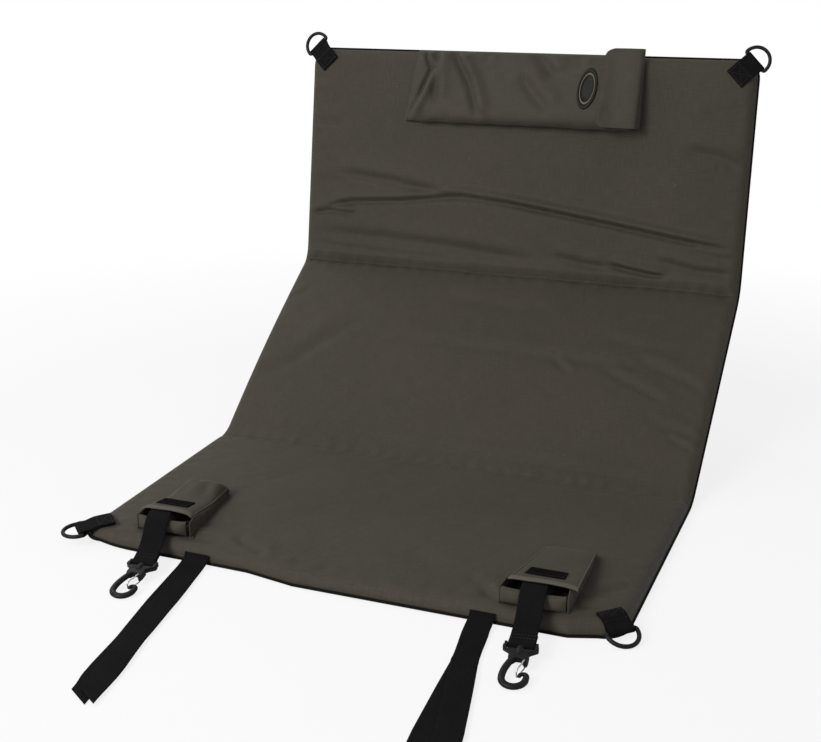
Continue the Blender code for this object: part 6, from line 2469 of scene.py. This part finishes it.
def corner_rings() -> list[CornerRing]:
    """The four corners with the frames of their tabs and rings."""
    s = math.sqrt(0.5)
    return [
        CornerRing(
            End.FRONT,
            Side.LEFT,
            placed((-0.30494, -0.14096, 0.0), (-s, s, 0.0), (-s, -s, 0.0)),
            placed((-0.32884, -0.16486, 0.0145), (-s, s, 0.0), (-0.70614, -0.70614, -0.05234)),
            -0.006,
            0.0338,
            0.0145,
        ),
        CornerRing(
            End.FRONT,
            Side.RIGHT,
            placed((0.3007, -0.1452, 0.0), (-s, -s, 0.0), (s, -s, 0.0)),
            placed((0.32262, -0.16712, 0.0105), (-s, -s, 0.0), (0.65198, -0.65198, -0.3871)),
            0.006,
            0.0310,
            0.0105,
        ),
        CornerRing(
            End.REAR,
            Side.LEFT,
            placed((-0.29575, 0.51439, 0.48688), (s, 0.11792, 0.6972), (-s, 0.11792, 0.6972)),
            placed((-0.31838, 0.50436, 0.51153), (s, 0.11792, 0.6972), (-0.70323, 0.22034, 0.67595)),
            -0.003,
            0.0320,
            0.0140,
        ),
        CornerRing(
            End.REAR,
            Side.RIGHT,
            placed((0.29929, 0.5138, 0.4834), (s, -0.11792, -0.6972), (s, 0.11792, 0.6972)),
            placed((0.32121, 0.50365, 0.50734), (s, -0.11792, -0.6972), (0.70023, 0.254, 0.66721)),
            -0.003,
            0.0310,
            0.0140,
        ),
    ]


def tie_straps() -> list[TieStrap]:
    """The two closing straps."""
    return [
        TieStrap(
            Side.LEFT,
            placed((-0.1691, -0.16757, 0.01217), (0.99964, -0.02666, 0.0), (0.02666, 0.99964, 0.0)),
            math.radians(8.9),
            0.014,
            ((0.0, 1.16), (0.30, 1.27), (0.60, 1.17), (0.80, 1.33), (1.0, 1.33)),
        ),
        TieStrap(
            Side.RIGHT,
            placed((0.1795, -0.18184, 0.01217), (0.99999, -0.00479, 0.0), (0.00479, 0.99999, 0.0)),
            math.radians(8.8),
            0.0,
            ((0.0, 1.02), (0.16, 0.95), (0.22, 0.95), (0.42, 1.29), (0.72, 1.73), (1.0, 1.90)),
        ),
    ]


def clips() -> list[SwivelClip]:
    """The two swivel clips."""
    return [
        SwivelClip(
            Side.LEFT, placed((-0.2121, -0.21093, 0.0125), (0.99619, 0.08716, 0.0), (-0.08608, 0.98393, 0.15643))
        ),
        SwivelClip(
            Side.RIGHT, placed((0.23866, -0.23455, 0.0125), (0.98902, 0.14781, 0.0), (-0.14599, 0.97684, 0.15643))
        ),
    ]


def pouches() -> list[HookPouch]:
    """The two hook pouches."""
    return [
        HookPouch(
            Side.LEFT,
            x=-0.2250,
            front_y=-0.1455,
            length=0.125,
            front_half=0.0345,
            rear_half=0.0275,
            flap_x=-0.2290,
            flap_length=0.1115,
            flap_front=0.0345,
            flap_rear=0.0275,
            strap_x=-0.2305,
            tail_yaw=math.radians(16.5),
            clip_turn=math.radians(5.0 - 16.5),
            dome=0.0095,
            droop=0.0050,
            open_gap=0.0050,
            rear_round=0.019,
            tail_frame=placed((-0.2305, -0.1488, 0.0394), (0.95882, 0.28402, 0.0), (-0.28402, 0.95882, 0.0)),
        ),
        HookPouch(
            Side.RIGHT,
            x=0.2300,
            front_y=-0.1670,
            length=0.137,
            front_half=0.0365,
            rear_half=0.0290,
            flap_x=0.2355,
            flap_length=0.123,
            flap_front=0.0380,
            flap_rear=0.0275,
            strap_x=0.2302,
            tail_yaw=math.radians(7.5),
            clip_turn=math.radians(8.5 - 7.5),
            dome=0.0016,
            droop=0.0022,
            open_gap=0.0015,
            rear_round=0.009,
            tail_frame=placed((0.2302, -0.1703, 0.0394), (0.99144, 0.13053, 0.0), (-0.13053, 0.99144, 0.0)),
        ),
    ]


def main() -> None:
    """Builds the dressed part."""
    logging.basicConfig(level=logging.INFO, format="%(name)s: %(message)s")
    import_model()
    studio = Studio()
    studio.build()
    finishes = Finishes(Effects())
    mat = Mat(finishes)
    mat.build()
    for corner in corner_rings():
        corner.build(finishes, mat.shape)
    for strap in tie_straps():
        strap.build(finishes)
    for clip in clips():
        clip.build(finishes)
    for pouch in pouches():
        pouch.build(finishes)
    badge = placed((0.103, 0.47161, 0.4681), (1, 0, 0), (0.0, 0.37216, 0.92817))
    RearPocket(badge).build(finishes)


if __name__ == "__main__":
    main()
